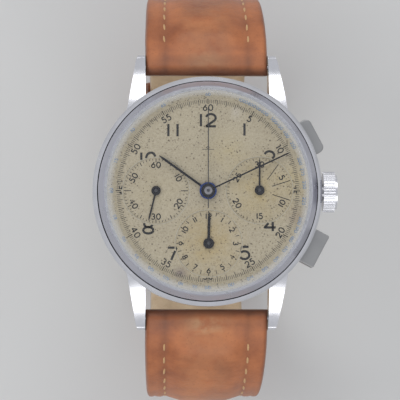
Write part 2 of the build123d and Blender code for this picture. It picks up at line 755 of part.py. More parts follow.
nodes["hour_wheel"] = hour_wheel - disc(hour_tube_bore, motion_bottom, hour_hand_bottom + 1, centre_place)

# ---------------------------------------------------------------- chronograph works
chrono_hand_bottom = dial_top + chrono_hand_lift
chrono_bridge_top = chronograph_bridge_bottom + chronograph_bridge_thickness


def heart(centre, low, high, size):
    """Heart-shaped reset cam, as two lobes and a point."""
    cam = disc(size * 0.62, low, high, place_at(60, size * 0.4, centre))
    cam += disc(size * 0.62, low, high, place_at(120, size * 0.4, centre))
    return cam + disc(size * 0.5, low, high, centre)


chrono_runner = wheel(chrono_runner_teeth, chrono_module, chrono_wheel_bottom, chrono_wheel_top, centre_place)
chrono_runner = spoked(chrono_runner, centre_place, 3.2, 0.8, chrono_wheel_bottom, chrono_wheel_top, 4, 0.4)
chrono_runner += heart(centre_place, lever_bottom, lever_bottom + lever_thickness, 1.0)
chrono_runner += disc(arbor_radius, chrono_bridge_top + end_shake, chrono_hand_bottom, centre_place)
chrono_runner += disc(pivot_radius, chronograph_bridge_bottom + 0.05, chrono_bridge_top + 1, centre_place)
nodes["chrono_runner"] = chrono_runner

minute_runner = wheel(minute_runner_teeth, minute_runner_module, 1.65, 1.83, minutes_place)
minute_runner += heart(minutes_place, lever_bottom, lever_bottom + lever_thickness, 0.8)
minute_runner += disc(arbor_radius, chrono_bridge_top + end_shake, dial_top + 0.3, minutes_place)
minute_runner += disc(pivot_radius, chronograph_bridge_bottom + 0.05, chrono_bridge_top + 1, minutes_place)
nodes["minute_runner"] = minute_runner

hour_runner = wheel(hour_runner_teeth, hour_runner_module, motion_bottom, motion_bottom + 0.2, hours_place)
hour_runner += heart(hours_place, motion_bottom + 0.2, motion_bottom + 0.45, 0.9)
hour_runner += disc(arbor_radius, motion_bottom, dial_top + 0.3, hours_place)
hour_runner += disc(pivot_radius, plate_top - 0.7, motion_bottom, hours_place)
nodes["hour_runner"] = hour_runner

drive_way = direction(seconds_place, clutch_place)
clutch_turn = meshing_turn(drive_teeth, 0, clutch_teeth, drive_way)
clutch_wheel = wheel(clutch_teeth, chrono_module, chrono_wheel_bottom, chrono_wheel_top, clutch_place,
                     clutch_turn)
nodes["clutch_wheel"] = clutch_wheel - disc(clutch_stud_radius + arbor_clearance, chrono_wheel_bottom,
                                            chrono_wheel_top, clutch_place)
clutch_lever = link(seconds_place, clutch_place, 1.0, clutch_lever_low, clutch_lever_high)
clutch_lever += disc(1.1, clutch_lever_low, clutch_lever_high, seconds_place)
clutch_lever += disc(clutch_stud_radius, chrono_wheel_bottom - 0.15, clutch_lever_high, clutch_place)
clutch_lever += disc(0.5, chrono_wheel_top + 0.05, clutch_lever_high, clutch_place)
clutch_lever -= disc(clutch_boss_radius + arbor_clearance, clutch_lever_low, clutch_lever_high, seconds_place)
nodes["clutch_lever"] = clutch_lever

column_wheel = wheel(12, 2 * column_wheel_radius / 12.6, column_low, column_deck, column_place)
for index in range(column_count):
    column = place_at(360 / column_count * index, column_wheel_radius * 0.66, column_place)
    column_wheel += disc(0.24, column_deck, column_high, column)
column_wheel += disc(0.6, column_deck, column_high, column_place)
nodes["column_wheel"] = column_wheel - disc(column_post_radius + arbor_clearance, column_low,
                                            column_high, column_place)


def rim_arm(start_way, end_way, reach):
    """Curved arm that follows the movement's edge, made of short links."""
    steps = 6
    arm = None
    for step in range(steps):
        first = place_at(start_way + (end_way - start_way) * step / steps, reach)
        second = place_at(start_way + (end_way - start_way) * (step + 1) / steps, reach)
        piece = link(first, second, lever_width * 0.8, lever_bottom, lever_bottom + lever_thickness)
        arm = piece if arm is None else arm + piece
    return arm


def lever_tab(way, offset=0):
    """Upright leg with a pad that the pusher's stem presses; the offset moves the leg sideways."""
    height = stem_height + pusher_stem_radius - lever_bottom
    leg_outer = lever_tab_reach + lever_tab_thickness / 2 - lever_leg_setback
    leg_place = leg_outer - lever_leg_thickness / 2
    leg = Pos(leg_place, offset, lever_bottom + height / 2) * Box(lever_leg_thickness, lever_leg_width,
                                                                  height)
    pad = Pos(lever_tab_reach, offset / 2, stem_height) * Box(
        lever_tab_thickness, lever_leg_width + offset, 2 * pusher_stem_radius)
    foot = Pos(leg_outer - lever_foot_length / 2, offset, lever_bottom + lever_thickness / 2) * Box(
        lever_foot_length, lever_leg_width, lever_thickness)
    return along_radius(way, leg + pad + foot)


lever_top = lever_bottom + lever_thickness
lever_arm_reach = lever_tab_reach - 1.15
operating_lever = rim_arm(operating_lever_pivot_way, 4, lever_arm_reach)
operating_lever += disc(lever_boss_radius, lever_bottom, lever_top, lever_pivot)
operating_lever += lever_tab(pusher_angle, lever_leg_offset)
nodes["operating_lever"] = operating_lever - disc(lever_post_radius + arbor_clearance, lever_bottom,
                                                  lever_top, lever_pivot)
reset_hammer = rim_arm(hammer_pivot_way, -pusher_angle, lever_arm_reach)
reset_hammer += disc(lever_boss_radius, lever_bottom, lever_top, hammer_pivot)
reset_hammer += link(hammer_pivot, hammer_tip, lever_width, lever_bottom, lever_top)
reset_hammer += lever_tab(-pusher_angle)
nodes["reset_hammer"] = reset_hammer - disc(lever_post_radius + arbor_clearance, lever_bottom,
                                            lever_top, hammer_pivot)

# ---------------------------------------------------------------- plates and bridges
ring_inner = plate_radius + movement_ring_clearance
nodes["movement_ring"] = tube(case_bore_radius - slip_clearance, ring_inner, plate_bottom + 0.2, dial_bottom)


def add_jewel(centre, low, bore=pivot_radius + pivot_clearance):
    """Jewel bearing pressed into a plate: records the jewel and returns its hole."""
    jewels.append(tube(jewel_radius, bore, low, low + jewel_thickness, centre))
    return disc(jewel_radius, low, low + jewel_thickness, centre)


def add_screw(centre, low, length, head_radius=0.7, thread_radius=0.4):
    """Slotted screw whose head lies on the back side; returns the hole that it fills."""
    head = disc(head_radius, low, low + 0.25, centre)
    shank = disc(thread_radius, low + 0.25, low + length, centre)
    slot = Pos(centre[0], centre[1], low + 0.05) * Box(2 * head_radius, 0.16, 0.1)
    screws.append(head + shank - slot)
    return head + shank


main_plate = disc(plate_radius, plate_bottom, plate_top)
main_plate -= disc(centre_arbor_radius + arbor_clearance, plate_bottom, plate_top)
main_plate -= disc(barrel_arbor_radius + arbor_clearance, plate_bottom, plate_bottom + pivot_hole_depth,
                   barrel_place)
for centre in (seconds_place, minutes_place):
    main_plate -= disc(shaft_hole, plate_bottom, plate_top, centre)
for centre in (third_place, escape_place, balance_place, pallet_place):
    main_plate -= disc(pivot_radius + pivot_clearance, plate_bottom, plate_bottom + pivot_hole_depth, centre)
    main_plate -= add_jewel(centre, plate_bottom)
main_plate -= disc(pivot_radius + pivot_clearance, plate_top - 0.8, plate_top, hours_place)
main_plate -= rod(ratchet_module * winding_pinion_teeth / 2 + 0.35, pinion_low - 0.15,
                  pinion_low + winding_pinion_length + 0.15, stem_height)
main_plate += disc(minute_post_radius, plate_top, motion_top, minute_wheel_place)
main_plate += disc(column_post_radius, column_low - 0.05, plate_bottom, column_place)
main_plate += disc(lever_post_radius, lever_bottom - 0.02, plate_bottom, hammer_pivot)
stem_block = Pos(13.5, 0, (bridge_top + 0.1 + plate_bottom) / 2) * Box(0.9, 2.6,
    plate_bottom - bridge_top - 0.1)
stem_block -= rod(stem_radius + running_clearance, 12, 15, stem_height)
main_plate += stem_block

barrel_feet = [place_at(80, 13.4), (12.6, 3.4)]
train_feet = [(-13.0, 3.9), (-12.8, -4.2), (-5.0, 12.2)]
pallet_feet = [(-8.9, -7.0), (-4.6, -4.3)]

barrel_region = extrude(make_face(Polyline((-1.4, -1.8), (-1.4, 15), (15, 15), (15, -1.8), close=True)),
                        bridge_thickness)
barrel_bridge = disc(plate_radius - 0.5, bridge_bottom, bridge_top) & Pos(0, 0, bridge_bottom) * barrel_region
barrel_bridge -= Pos(pinion_low + winding_pinion_length / 2, 0, bridge_bottom + 0.35) \
    * Box(winding_pinion_length + 0.6, 4, 0.8)
barrel_bridge -= along_radius(pusher_angle, Pos(13.9, 0, bridge_bottom + 0.35) * Box(2.8, 5.5, 0.8))
for centre in barrel_feet:
    barrel_bridge += disc(foot_radius, bridge_top, plate_bottom, centre)
barrel_bridge -= disc(centre_arbor_radius + arbor_clearance, bridge_bottom, bridge_top)
barrel_bridge -= disc(barrel_arbor_radius + arbor_clearance, bridge_bottom, bridge_top, barrel_place)
barrel_bridge -= disc(shaft_hole, bridge_bottom, bridge_top, minutes_place)
barrel_bridge += disc(crown_wheel_bore, ratchet_bottom - 0.05, bridge_bottom, crown_wheel_place)
barrel_bridge += disc(click_bore, ratchet_bottom - 0.05, bridge_bottom, click_place)
barrel_bridge += disc(lever_post_radius, lever_bottom - 0.02, bridge_bottom, lever_pivot)

train_edge = -1.4 - bridge_gap
train_region = extrude(make_face(Polyline((train_edge, -5.3), (train_edge, 15), (-15, 15), (-15, -5.3),
                                          close=True)),
                       bridge_thickness)
train_bridge = disc(plate_radius - 0.5, bridge_bottom, bridge_top) & Pos(0, 0, bridge_bottom) * train_region
for centre in train_feet:
    train_bridge += disc(foot_radius, bridge_top, plate_bottom, centre)
train_bridge += disc(clutch_boss_radius, clutch_lever_low - 0.02, bridge_bottom, seconds_place)
train_bridge -= disc(shaft_hole, clutch_lever_low - 1, bridge_top, seconds_place)
for centre in (third_place, escape_place):
    train_bridge -= disc(pivot_radius + pivot_clearance, bridge_bottom, bridge_top, centre)
    train_bridge -= add_jewel(centre, bridge_top - jewel_thickness)

balance_cock = link(cock_foot, balance_place, 2.2, bridge_bottom, bridge_top)
balance_cock += disc(1.3, bridge_bottom, plate_bottom, cock_foot)
balance_cock -= disc(pivot_radius + pivot_clearance, bridge_bottom, bridge_top, balance_place)
balance_cock -= add_jewel(balance_place, bridge_top - jewel_thickness)

pallet_bridge = link(pallet_feet[0], pallet_feet[1], 0.9, pallet_bridge_low, pallet_bridge_high)
for centre in pallet_feet:
    pallet_bridge += disc(0.45, pallet_bridge_low, plate_bottom, centre)
pallet_bridge -= disc(pivot_radius + pivot_clearance, pallet_bridge_low, pallet_bridge_high, pallet_place)
nodes["pallet_bridge"] = pallet_bridge

chronograph_bridge = link(chrono_bridge_foot, centre_place, 1.8, chronograph_bridge_bottom, chrono_bridge_top)
chronograph_bridge += link(centre_place, minutes_place, 1.8, chronograph_bridge_bottom, chrono_bridge_top)
chronograph_bridge += link(minutes_place, chrono_foot, 1.8, chronograph_bridge_bottom, chrono_bridge_top)
chronograph_bridge += disc(0.7, chrono_bridge_top, bridge_bottom, chrono_bridge_foot)
chronograph_bridge += disc(0.7, chrono_bridge_top, plate_bottom, chrono_foot)
for centre in (centre_place, minutes_place):
    chronograph_bridge -= disc(pivot_radius + pivot_clearance, chronograph_bridge_bottom,
                               chrono_bridge_top, centre)

for centre in barrel_feet:
    hole = add_screw(centre, bridge_bottom, bridge_screw_length)
    barrel_bridge -= hole
    main_plate -= hole
for centre in train_feet:
    hole = add_screw(centre, bridge_bottom, bridge_screw_length)
    train_bridge -= hole
    main_plate -= hole
hole = add_screw(cock_foot, bridge_bottom, bridge_screw_length)
balance_cock -= hole
main_plate -= hole
hole = add_screw(chrono_bridge_foot, chronograph_bridge_bottom, chrono_screw_length,
                 chrono_screw_head, chrono_screw_thread)
chronograph_bridge -= hole
train_bridge -= hole
hole = add_screw(chrono_foot, chronograph_bridge_bottom, chrono_foot_screw_length,
                 chrono_screw_head, chrono_screw_thread)
chronograph_bridge -= hole
main_plate -= hole
nodes["main_plate"] = main_plate
nodes["barrel_bridge"] = barrel_bridge
nodes["train_bridge"] = train_bridge
nodes["balance_cock"] = balance_cock
nodes["chronograph_bridge"] = chronograph_bridge
nodes["jewels"] = Compound([jewel.solid() for jewel in jewels])
nodes["bridge_screws"] = Compound([screw.solid() for screw in screws])

# ---------------------------------------------------------------- dial and hands
dial = disc(dial_radius, dial_bottom, dial_top)
register_floor = dial_top - register_depth
for centre in (seconds_place, minutes_place, hours_place):
    dial -= disc(register_radius, register_floor, dial_top, centre)
    dial -= disc(shaft_hole, dial_bottom, dial_top, centre)
dial -= disc(hour_tube_radius + 0.1, dial_bottom, dial_top)
nodes["dial"] = dial


def hand(way, length, width, bottom, hub_radius, bore, tail=0, centre=(0, 0), hub_height=0.2):
    """Slim tapered hand with a round hub; the way is in degrees clockwise from twelve."""
    half = width / 2
    outline = [(-tail, -half), (0, -half), (length - 2 * width, -half), (length, -half * 0.25),
               (length, half * 0.25), (length - 2 * width, half), (0, half), (-tail, half)]
    if not tail:
        outline = outline[1:-1]
    blade = extrude(make_face(Polyline(*outline, close=True)), hand_thickness)
    blade += disc(hub_radius, 0, hub_height)
    if bore:
        blade -= disc(bore, 0, hub_height)
    return Pos(centre[0], centre[1], bottom) * Rot(0, 0, 90 - way) * blade


small_hand_bottom = register_floor + 0.2
nodes["hour_hand"] = hand(hour_hand_way, hour_hand_length, hour_hand_width, hour_hand_bottom - hand_sink,
                          hour_hand_hub,
                          hour_tube_radius)
nodes["minute_hand"] = hand(minute_hand_way, minute_hand_length, minute_hand_width,
                            minute_hand_bottom - hand_sink,
                            minute_hand_hub, cannon_outer)
nodes["chrono_seconds_hand"] = hand(chrono_hand_way, chrono_hand_length, chrono_hand_width,
                                    chrono_hand_bottom - 0.1, chrono_hand_hub, arbor_radius, chrono_hand_tail)
nodes["small_seconds_hand"] = hand(small_seconds_way, small_hand_length, small_hand_width, small_hand_bottom,
                                   small_seconds_hub, arbor_radius, 0, seconds_place)
nodes["minute_counter_hand"] = hand(0, small_hand_length, small_hand_width, small_hand_bottom,
                                    minute_counter_hub, arbor_radius, 0, minutes_place)
nodes["hour_counter_hand"] = hand(1, small_hand_length, hour_counter_width, small_hand_bottom,
                                  hour_counter_hub, arbor_radius, 0, hours_place)

# ---------------------------------------------------------------- strap
# The strap's side view is drawn in the YZ plane as bands about tangent arcs.
start_slope = math.radians(strap_start_slope)
shoulder_radius = (strap_half_extent - spring_bar_reach) / (1 - math.sin(start_slope))
shoulder_centre = (spring_bar_reach - shoulder_radius * math.sin(start_slope),
                   spring_bar_height - shoulder_radius * math.cos(start_slope))
turn_height = shoulder_centre[1]
short_centre = (strap_half_extent - strap_turn_radius, turn_height)
long_turn_radius = strap_turn_radius + strap_layer_offset
long_centre = (strap_half_extent - long_turn_radius, turn_height)
buckle_height = turn_height - strap_turn_radius


def arc_band(centre, radius, start, size, thickness):
    """Strip of leather about an arc, as a face in the YZ plane."""
    angles = [start, start + size / 2, start + size]
    outer = [place_at(angle, radius + thickness / 2, centre) for angle in angles]
    inner = [place_at(angle, radius - thickness / 2, centre) for angle in angles]
    edges = [ThreePointArc(*outer), Line(outer[2], inner[2]), ThreePointArc(*inner), Line(inner[0], outer[0])]
    return make_face(edges)


def flat_band(first, second, height, thickness):
    middle = (first + second) / 2
    return Pos(middle, height) * Rectangle(abs(second - first), thickness)


def shaped_strap(faces):
    """Extrudes the side view and trims it to the strap's tapering width."""
    width = strap_width + 1
    solid = None
    for face in faces:
        piece = Pos(-width / 2, 0, 0) * extrude(Plane.YZ * face, width)
        solid = piece if solid is None else solid + piece
    half = strap_width / 2
    end_half = strap_end_width / 2
    front = make_face(Polyline((-half, 10), (half, 10), (half, 0), (end_half, -strap_taper_height),
                               (end_half, -80), (-end_half, -80), (-end_half, -strap_taper_height),
                               (-half, 0), close=True))
    sleeve = Pos(0, 100, 0) * extrude(Plane.XZ * front, 200)
    return solid & sleeve


def cross_hole(radius, place, height):
    """Round hole along X."""
    return Pos(0, place, 0) * rod(radius, -lug_gap, lug_gap, height)


bar_hole = cross_hole(spring_bar_radius + strap_bar_clearance, spring_bar_reach, spring_bar_height)
shoulder_thickness = 2 * (strap_roll_radius - strap_roll_rise)
shoulder_face = arc_band(shoulder_centre, shoulder_radius, 0, 90 - strap_start_slope, shoulder_thickness)
roll_face = Pos(spring_bar_reach, spring_bar_height) * Circle(strap_roll_radius)
short_end = buckle_place - buckle_bar_radius - 0.7
short_faces = [shoulder_face, roll_face, arc_band(short_centre, strap_turn_radius, -90, 90,
                                                  strap_thin_thickness),
               flat_band(short_end, short_centre[0], buckle_height, strap_thin_thickness)]
short_strap = shaped_strap(short_faces) - bar_hole
short_strap -= cross_hole(buckle_bar_radius + strap_bar_clearance, buckle_place, buckle_height)
tongue_slot = Box(tongue_width + 0.5, 5, strap_thin_thickness + 1)
short_strap -= Pos(0, buckle_place - 1.1, buckle_height) * tongue_slot
nodes["strap_12"] = short_strap

tail_centre = (-short_centre[0], turn_height)
long_faces = [shoulder_face, roll_face, arc_band(long_centre, long_turn_radius, -90, 90,
                                                 strap_thin_thickness),
              flat_band(tail_centre[0], long_centre[0], turn_height - long_turn_radius, strap_thin_thickness),
              arc_band(tail_centre, long_turn_radius, -90 - strap_tail_turn, strap_tail_turn,
                       strap_thin_thickness)]
long_strap = shaped_strap(long_faces) - bar_hole
tail_length = math.radians(strap_tail_turn) * long_turn_radius
flat_length = long_centre[0] - tail_centre[0]
for index in range(strap_hole_count):
    run = 6.5 + strap_hole_pitch * index
    if run < tail_length:
        way = -90 - strap_tail_turn + math.degrees(run / long_turn_radius)
        middle = place_at(way, long_turn_radius, tail_centre)
    elif run < tail_length + flat_length:
        way = -90
        middle = (tail_centre[0] + run - tail_length, turn_height - long_turn_radius)
    else:
        way = -90 + math.degrees((run - tail_length - flat_length) / long_turn_radius)
        middle = place_at(way, long_turn_radius, long_centre)
    punch = Pos(0, middle[0], middle[1]) * Rot(way, 0, 0) * Rot(-90, 0, 0) * Cylinder(strap_hole_radius, 4)
    long_strap -= punch
nodes["strap_6"] = mirror(long_strap, Plane.XZ)

# ---------------------------------------------------------------- buckle and keepers
frame_half = buckle_opening / 2 + buckle_wire
frame_middle = buckle_place - buckle_length / 2 + buckle_wire / 2
buckle = Box(2 * frame_half, buckle_length, buckle_wire)
buckle = fillet(buckle.edges().filter_by(Axis.Z), buckle_corner_rounding)
buckle = fillet(buckle.edges().filter_by(Axis.Y), buckle_edge_rounding)
buckle -= Box(buckle_opening, buckle_length - 2 * buckle_wire, buckle_wire)
buckle = Pos(0, frame_middle, buckle_height) * buckle
buckle -= Pos(0, buckle_place + 1.5, buckle_height) * Box(buckle_opening, 5, buckle_wire + 1)
buckle += Pos(0, buckle_place, 0) * rod(buckle_bar_radius, -frame_half + 0.4, frame_half - 0.4, buckle_height)
far_bar = buckle_place - buckle_length + buckle_wire
buckle -= Pos(0, far_bar - 0.5, buckle_height - buckle_wire / 2) * Box(tongue_width + 0.4, 3.4,
    2 * notch_height)
nodes["buckle_frame"] = buckle

tongue_bore = buckle_bar_radius + running_clearance
tongue_top = buckle_height - buckle_wire / 2 + notch_height - 0.06
tongue_side = make_face(Polyline((buckle_place, buckle_height + 0.3), (buckle_place, buckle_height - 1.0),
                                 (far_bar - 1.4, tongue_top - tongue_thickness), (far_bar - 1.4, tongue_top),
                                 (far_bar + 1.2, tongue_top), close=True))
tongue = Pos(-tongue_width / 2, 0, 0) * extrude(Plane.YZ * tongue_side, tongue_width)
tongue += Pos(0, buckle_place, 0) * rod(tongue_bore + 0.4, -tongue_width / 2, tongue_width / 2, buckle_height)
nodes["buckle_tongue"] = tongue - Pos(0, buckle_place, 0) * rod(tongue_bore, -2, 2, buckle_height)


def keeper(turn):
    """Leather loop round the short half, at an angle up from the bottom of its arc."""
    way = -90 + turn
    place = place_at(way, strap_turn_radius, short_centre)
    slope = (strap_width - strap_end_width) / strap_taper_height
    opening = strap_width + slope * place[1] + 2 * keeper_side_clearance
    low = -strap_thin_thickness / 2 - keeper_lower_clearance
    high = strap_thin_thickness / 2 + keeper_spare_height
    loop = Box(opening + 2 * keeper_wall, keeper_length, high - low + 2 * keeper_wall)
    loop -= Box(opening, keeper_length, high - low)
    loop = Pos(0, 0, (high + low) / 2) * loop
    return Pos(0, place[0], place[1]) * Rot(way - 90, 0, 0) * loop


nodes["fixed_keeper"] = keeper(fixed_keeper_turn)
nodes["free_keeper"] = keeper(free_keeper_turn)

# ---------------------------------------------------------------- export
os.makedirs("parts", exist_ok=True)
for name, solid in nodes.items():
    solid.label = name
    export_step(solid, "parts/" + name + ".step")
print(len(nodes), "nodes")
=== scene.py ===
import bpy
import bmesh
import math
import random
from mathutils import Matrix, Vector


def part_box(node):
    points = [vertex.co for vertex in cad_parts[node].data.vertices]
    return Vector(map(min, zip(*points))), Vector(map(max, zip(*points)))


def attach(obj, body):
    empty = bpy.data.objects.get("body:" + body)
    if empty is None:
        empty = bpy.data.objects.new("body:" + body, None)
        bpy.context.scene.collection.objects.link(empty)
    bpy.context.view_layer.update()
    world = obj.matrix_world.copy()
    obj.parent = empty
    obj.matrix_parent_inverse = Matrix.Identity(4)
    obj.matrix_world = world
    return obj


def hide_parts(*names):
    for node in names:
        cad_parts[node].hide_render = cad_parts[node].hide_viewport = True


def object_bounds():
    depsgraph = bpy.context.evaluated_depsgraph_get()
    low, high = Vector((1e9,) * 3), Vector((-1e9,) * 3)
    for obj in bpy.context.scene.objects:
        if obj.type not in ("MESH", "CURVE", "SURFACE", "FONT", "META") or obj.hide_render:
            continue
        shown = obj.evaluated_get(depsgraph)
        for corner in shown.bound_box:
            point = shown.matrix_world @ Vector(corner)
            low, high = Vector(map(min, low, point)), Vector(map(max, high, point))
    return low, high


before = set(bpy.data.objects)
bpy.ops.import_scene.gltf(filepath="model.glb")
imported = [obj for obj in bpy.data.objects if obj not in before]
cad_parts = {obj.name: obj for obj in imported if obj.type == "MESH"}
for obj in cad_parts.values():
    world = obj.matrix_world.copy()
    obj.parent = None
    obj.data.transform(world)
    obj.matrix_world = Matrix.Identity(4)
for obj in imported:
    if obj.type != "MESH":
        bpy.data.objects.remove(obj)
cad_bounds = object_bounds()
MM = 0.001
random.seed(7)


def mm(*values):
    """Vector in metres from values in millimetres."""
    return Vector(values) * MM


# ---------------------------------------------------------------- camera
DIAL_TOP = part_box("dial")[1].z / MM
VIEW_POINT = mm(-1.3, -1.5, DIAL_TOP)
VIEW_DISTANCE = 0.5
LEAN_LEFT = math.radians(2.3)
LEAN_DOWN = math.radians(2.6)
LENS = 277

camera_data = bpy.data.cameras.new("camera")
camera_data.lens = LENS
camera_data.clip_start = 0.01
camera = bpy.data.objects.new("camera", camera_data)
bpy.context.scene.collection.objects.link(camera)
toward_camera = Vector((-math.sin(LEAN_LEFT), -math.sin(LEAN_DOWN), 1)).normalized()
camera.location = VIEW_POINT + toward_camera * VIEW_DISTANCE
right = Vector((0, 1, 0)).cross(toward_camera).normalized()
upward = toward_camera.cross(right)
turn = Matrix((right, upward, toward_camera)).transposed()
camera.rotation_euler = turn.to_euler()
bpy.context.scene.camera = camera


# ---------------------------------------------------------------- material helpers
class Shader:
    """Short way to build a material's node tree around one Principled shader."""

    def __init__(self, name, **sockets):
        self.material = bpy.data.materials.new(name)
        self.material.use_nodes = True
        self.tree = self.material.node_tree
        self.bsdf = self.tree.nodes["Principled BSDF"]
        for key, value in sockets.items():
            self.bsdf.inputs[key.replace("_", " ")].default_value = value
        self.coords = self.add("ShaderNodeTexCoord").outputs["Object"]

    def add(self, kind, **settings):
        node = self.tree.nodes.new(kind)
        for key, value in settings.items():
            setattr(node, key, value)
        return node

    def link(self, output, target):
        self.tree.links.new(output, target)

    def put(self, socket, value):
        if hasattr(value, "is_output"):
            self.link(value, socket)
        else:
            socket.default_value = value

    def stretched(self, factors):
        node = self.add("ShaderNodeMapping")
        node.inputs["Scale"].default_value = factors
        self.link(self.coords, node.inputs["Vector"])
        return node.outputs["Vector"]

    def noise(self, size_mm, detail=4.0, vector=None, roughness=0.55):
        node = self.add("ShaderNodeTexNoise")
        node.inputs["Scale"].default_value = 1000 / size_mm
        node.inputs["Detail"].default_value = detail
        node.inputs["Roughness"].default_value = roughness
        self.link(vector or self.coords, node.inputs["Vector"])
        return node.outputs["Fac"]

    def cells(self, size_mm, feature="F1", output="Distance"):
        node = self.add("ShaderNodeTexVoronoi", feature=feature)
        node.inputs["Scale"].default_value = 1000 / size_mm
        self.link(self.coords, node.inputs["Vector"])
        return node.outputs[output]

    def ramp(self, value, low, high, start=0.0, end=1.0):
        node = self.add("ShaderNodeMapRange")
        self.link(value, node.inputs["Value"])
        node.inputs["From Min"].default_value = low
        node.inputs["From Max"].default_value = high
        node.inputs["To Min"].default_value = start
        node.inputs["To Max"].default_value = end
        return node.outputs["Result"]

    def math(self, operation, first, second=0.0):
        node = self.add("ShaderNodeMath", operation=operation)
        self.put(node.inputs[0], first)
        self.put(node.inputs[1], second)
        return node.outputs[0]

    def mix(self, share, first, second):
        node = self.add("ShaderNodeMix", data_type="RGBA")
        self.put(node.inputs["Factor"], share)
        self.put(node.inputs[6], first)
        self.put(node.inputs[7], second)
        return node.outputs[2]

    def height(self):
        node = self.add("ShaderNodeSeparateXYZ")
        self.link(self.coords, node.inputs[0])
        return node.outputs["Z"]

    def reach(self):
        """Distance from the Z axis."""
        flat = self.add("ShaderNodeVectorMath", operation="MULTIPLY")
        self.link(self.coords, flat.inputs[0])
        flat.inputs[1].default_value = (1, 1, 0)
        node = self.add("ShaderNodeVectorMath", operation="LENGTH")
        self.link(flat.outputs["Vector"], node.inputs[0])
        return node.outputs["Value"]

    def between(self, value, low_mm, high_mm):
        return self.math("MULTIPLY", self.math("GREATER_THAN", value, low_mm * MM),
                         self.math("LESS_THAN", value, high_mm * MM))

    def near(self, place_mm, radius_mm):
        """1 at a point of the object and 0 at a distance from it."""
        node = self.add("ShaderNodeVectorMath", operation="DISTANCE")
        self.link(self.coords, node.inputs[0])
        node.inputs[1].default_value = mm(*place_mm)
        return self.ramp(node.outputs["Value"], 0.0, radius_mm * MM, 1.0, 0.0)

    def bump(self, height, strength, distance_mm):
        node = self.add("ShaderNodeBump")
        node.inputs["Strength"].default_value = strength
        node.inputs["Distance"].default_value = distance_mm * MM
        self.link(height, node.inputs["Height"])
        self.link(node.outputs["Normal"], self.bsdf.inputs["Normal"])

    def color(self, value):
        self.put(self.bsdf.inputs["Base Color"], value)

    def rough(self, value):
        self.put(self.bsdf.inputs["Roughness"], value)


def srgb(red, green, blue):
    """Linear colour from 0 to 255 screen values."""
    return tuple((value / 255) ** 2.2 for value in (red, green, blue)) + (1.0,)


def scaled(tone, share):
    """A colour made darker or lighter."""
    return tuple(channel * share for channel in tone[:3]) + (1.0,)


def steel(name, tone, rough_low, rough_high, grain=(1, 1, 1), scratch=0.06, seam=None):
    """Worn steel; a seam is a ring (inner, outer, low, high in millimetres) painted near-black as the
    shadow line in the gap under the bezel.
    """
    shader = Shader(name, Metallic=1.0)
    wear = shader.noise(3.0, 6.0)
    fine = shader.noise(0.25, 3.0, shader.stretched(grain))
    metal = shader.mix(wear, scaled(tone, 0.86), tone)
    if seam:
        inner, outer, low, high = seam
        seam_shadow = shader.math("MULTIPLY", shader.between(shader.reach(), inner, outer),
                           shader.between(shader.height(), low, high))
        # painted shadow: the seam ring is made near-black
        metal = shader.mix(seam_shadow, metal, (0.03, 0.03, 0.035, 1))
    shader.color(metal)
    shader.rough(shader.ramp(shader.math("ADD", wear, shader.math("MULTIPLY", fine, 0.4)), 0.4, 1.0,
                             rough_low, rough_high))
    shader.bump(fine, scratch, 0.02)
    return shader.material


def brass(name, tone):
    """Wheel brass; the ends of arbors above the dial are dark steel."""
    shader = Shader(name, Metallic=1.0)
    patina = shader.noise(2.0, 5.0)
    metal = shader.mix(patina, scaled(tone, 0.7), tone)
    above_dial = shader.math("GREATER_THAN", shader.height(), DIAL_TOP * MM)
    shader.color(shader.mix(above_dial, metal, (0.10, 0.10, 0.11, 1)))
    shader.rough(shader.ramp(patina, 0.3, 0.8, 0.2, 0.38))
    shader.bump(shader.noise(0.2, 2.0, shader.stretched((1, 6, 1))), 0.08, 0.01)
    return shader.material


# ---------------------------------------------------------------- materials
BEZEL_LOW, BEZEL_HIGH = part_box("bezel")
BEZEL_RADIUS = BEZEL_HIGH.x / MM
# The case ring just under the bezel's edge gets a painted shadow line.
SEAM_TOP = BEZEL_LOW.z / MM - 0.06
SEAM_DEPTH = 0.36
POLISHED = steel("polished_steel", (0.80, 0.80, 0.83, 1), 0.14, 0.30,
                 seam=(BEZEL_RADIUS - 0.1, BEZEL_RADIUS + 0.2, SEAM_TOP - SEAM_DEPTH, SEAM_TOP))
BEZEL_STEEL = steel("bezel_steel", (0.56, 0.56, 0.62, 1), 0.22, 0.40)
PUSHER_STEEL = steel("satin_steel", (0.40, 0.40, 0.40, 1), 0.34, 0.52, (6, 1, 1), 0.22)
CASE_STEEL = steel("case_steel", (0.55, 0.55, 0.57, 1), 0.22, 0.42, (1, 8, 1), 0.12)
MOVEMENT_STEEL = steel("movement_steel", (0.5, 0.5, 0.52, 1), 0.15, 0.3, (6, 1, 1))
RHODIUM = steel("rhodium_plate", (0.70, 0.68, 0.62, 1), 0.25, 0.4, (1, 10, 1), 0.2)
BLUED = steel("blued_steel", (0.02, 0.06, 0.22, 1), 0.18, 0.32)
BRASS = brass("wheel_brass", (0.78, 0.56, 0.24, 1))


def make_crystal():
    """Clear acrylic; the white laid over it at grazing angles and towards its moulded edge is a painted
    reflection and a painted bright rim.
    """
    shader = Shader("crystal", Roughness=0.03, IOR=1.49, Specular_IOR_Level=0.12)
    shader.color((0.93, 0.95, 0.97, 1.0))
    facing = shader.add("ShaderNodeLayerWeight")
    facing.inputs["Blend"].default_value = 0.25
    haze = shader.ramp(shader.noise(4.0, 5.0), 0.35, 0.75, 0.0, 0.006)
    # painted reflection: whiter where the surface turns away from the camera
    edge = shader.ramp(facing.outputs["Facing"], 0.22, 1.0, 0.012, 0.5)
    # painted highlight: a bright rim towards the crystal's edge
    rim = shader.ramp(shader.reach(), 15.3 * MM, 16.8 * MM, 0.0, 0.30)
    shader.put(shader.bsdf.inputs["Alpha"], shader.math("ADD", shader.math("ADD", edge, haze), rim))
    shader.bump(shader.noise(0.4, 2.0), 0.02, 0.01)
    return shader.material


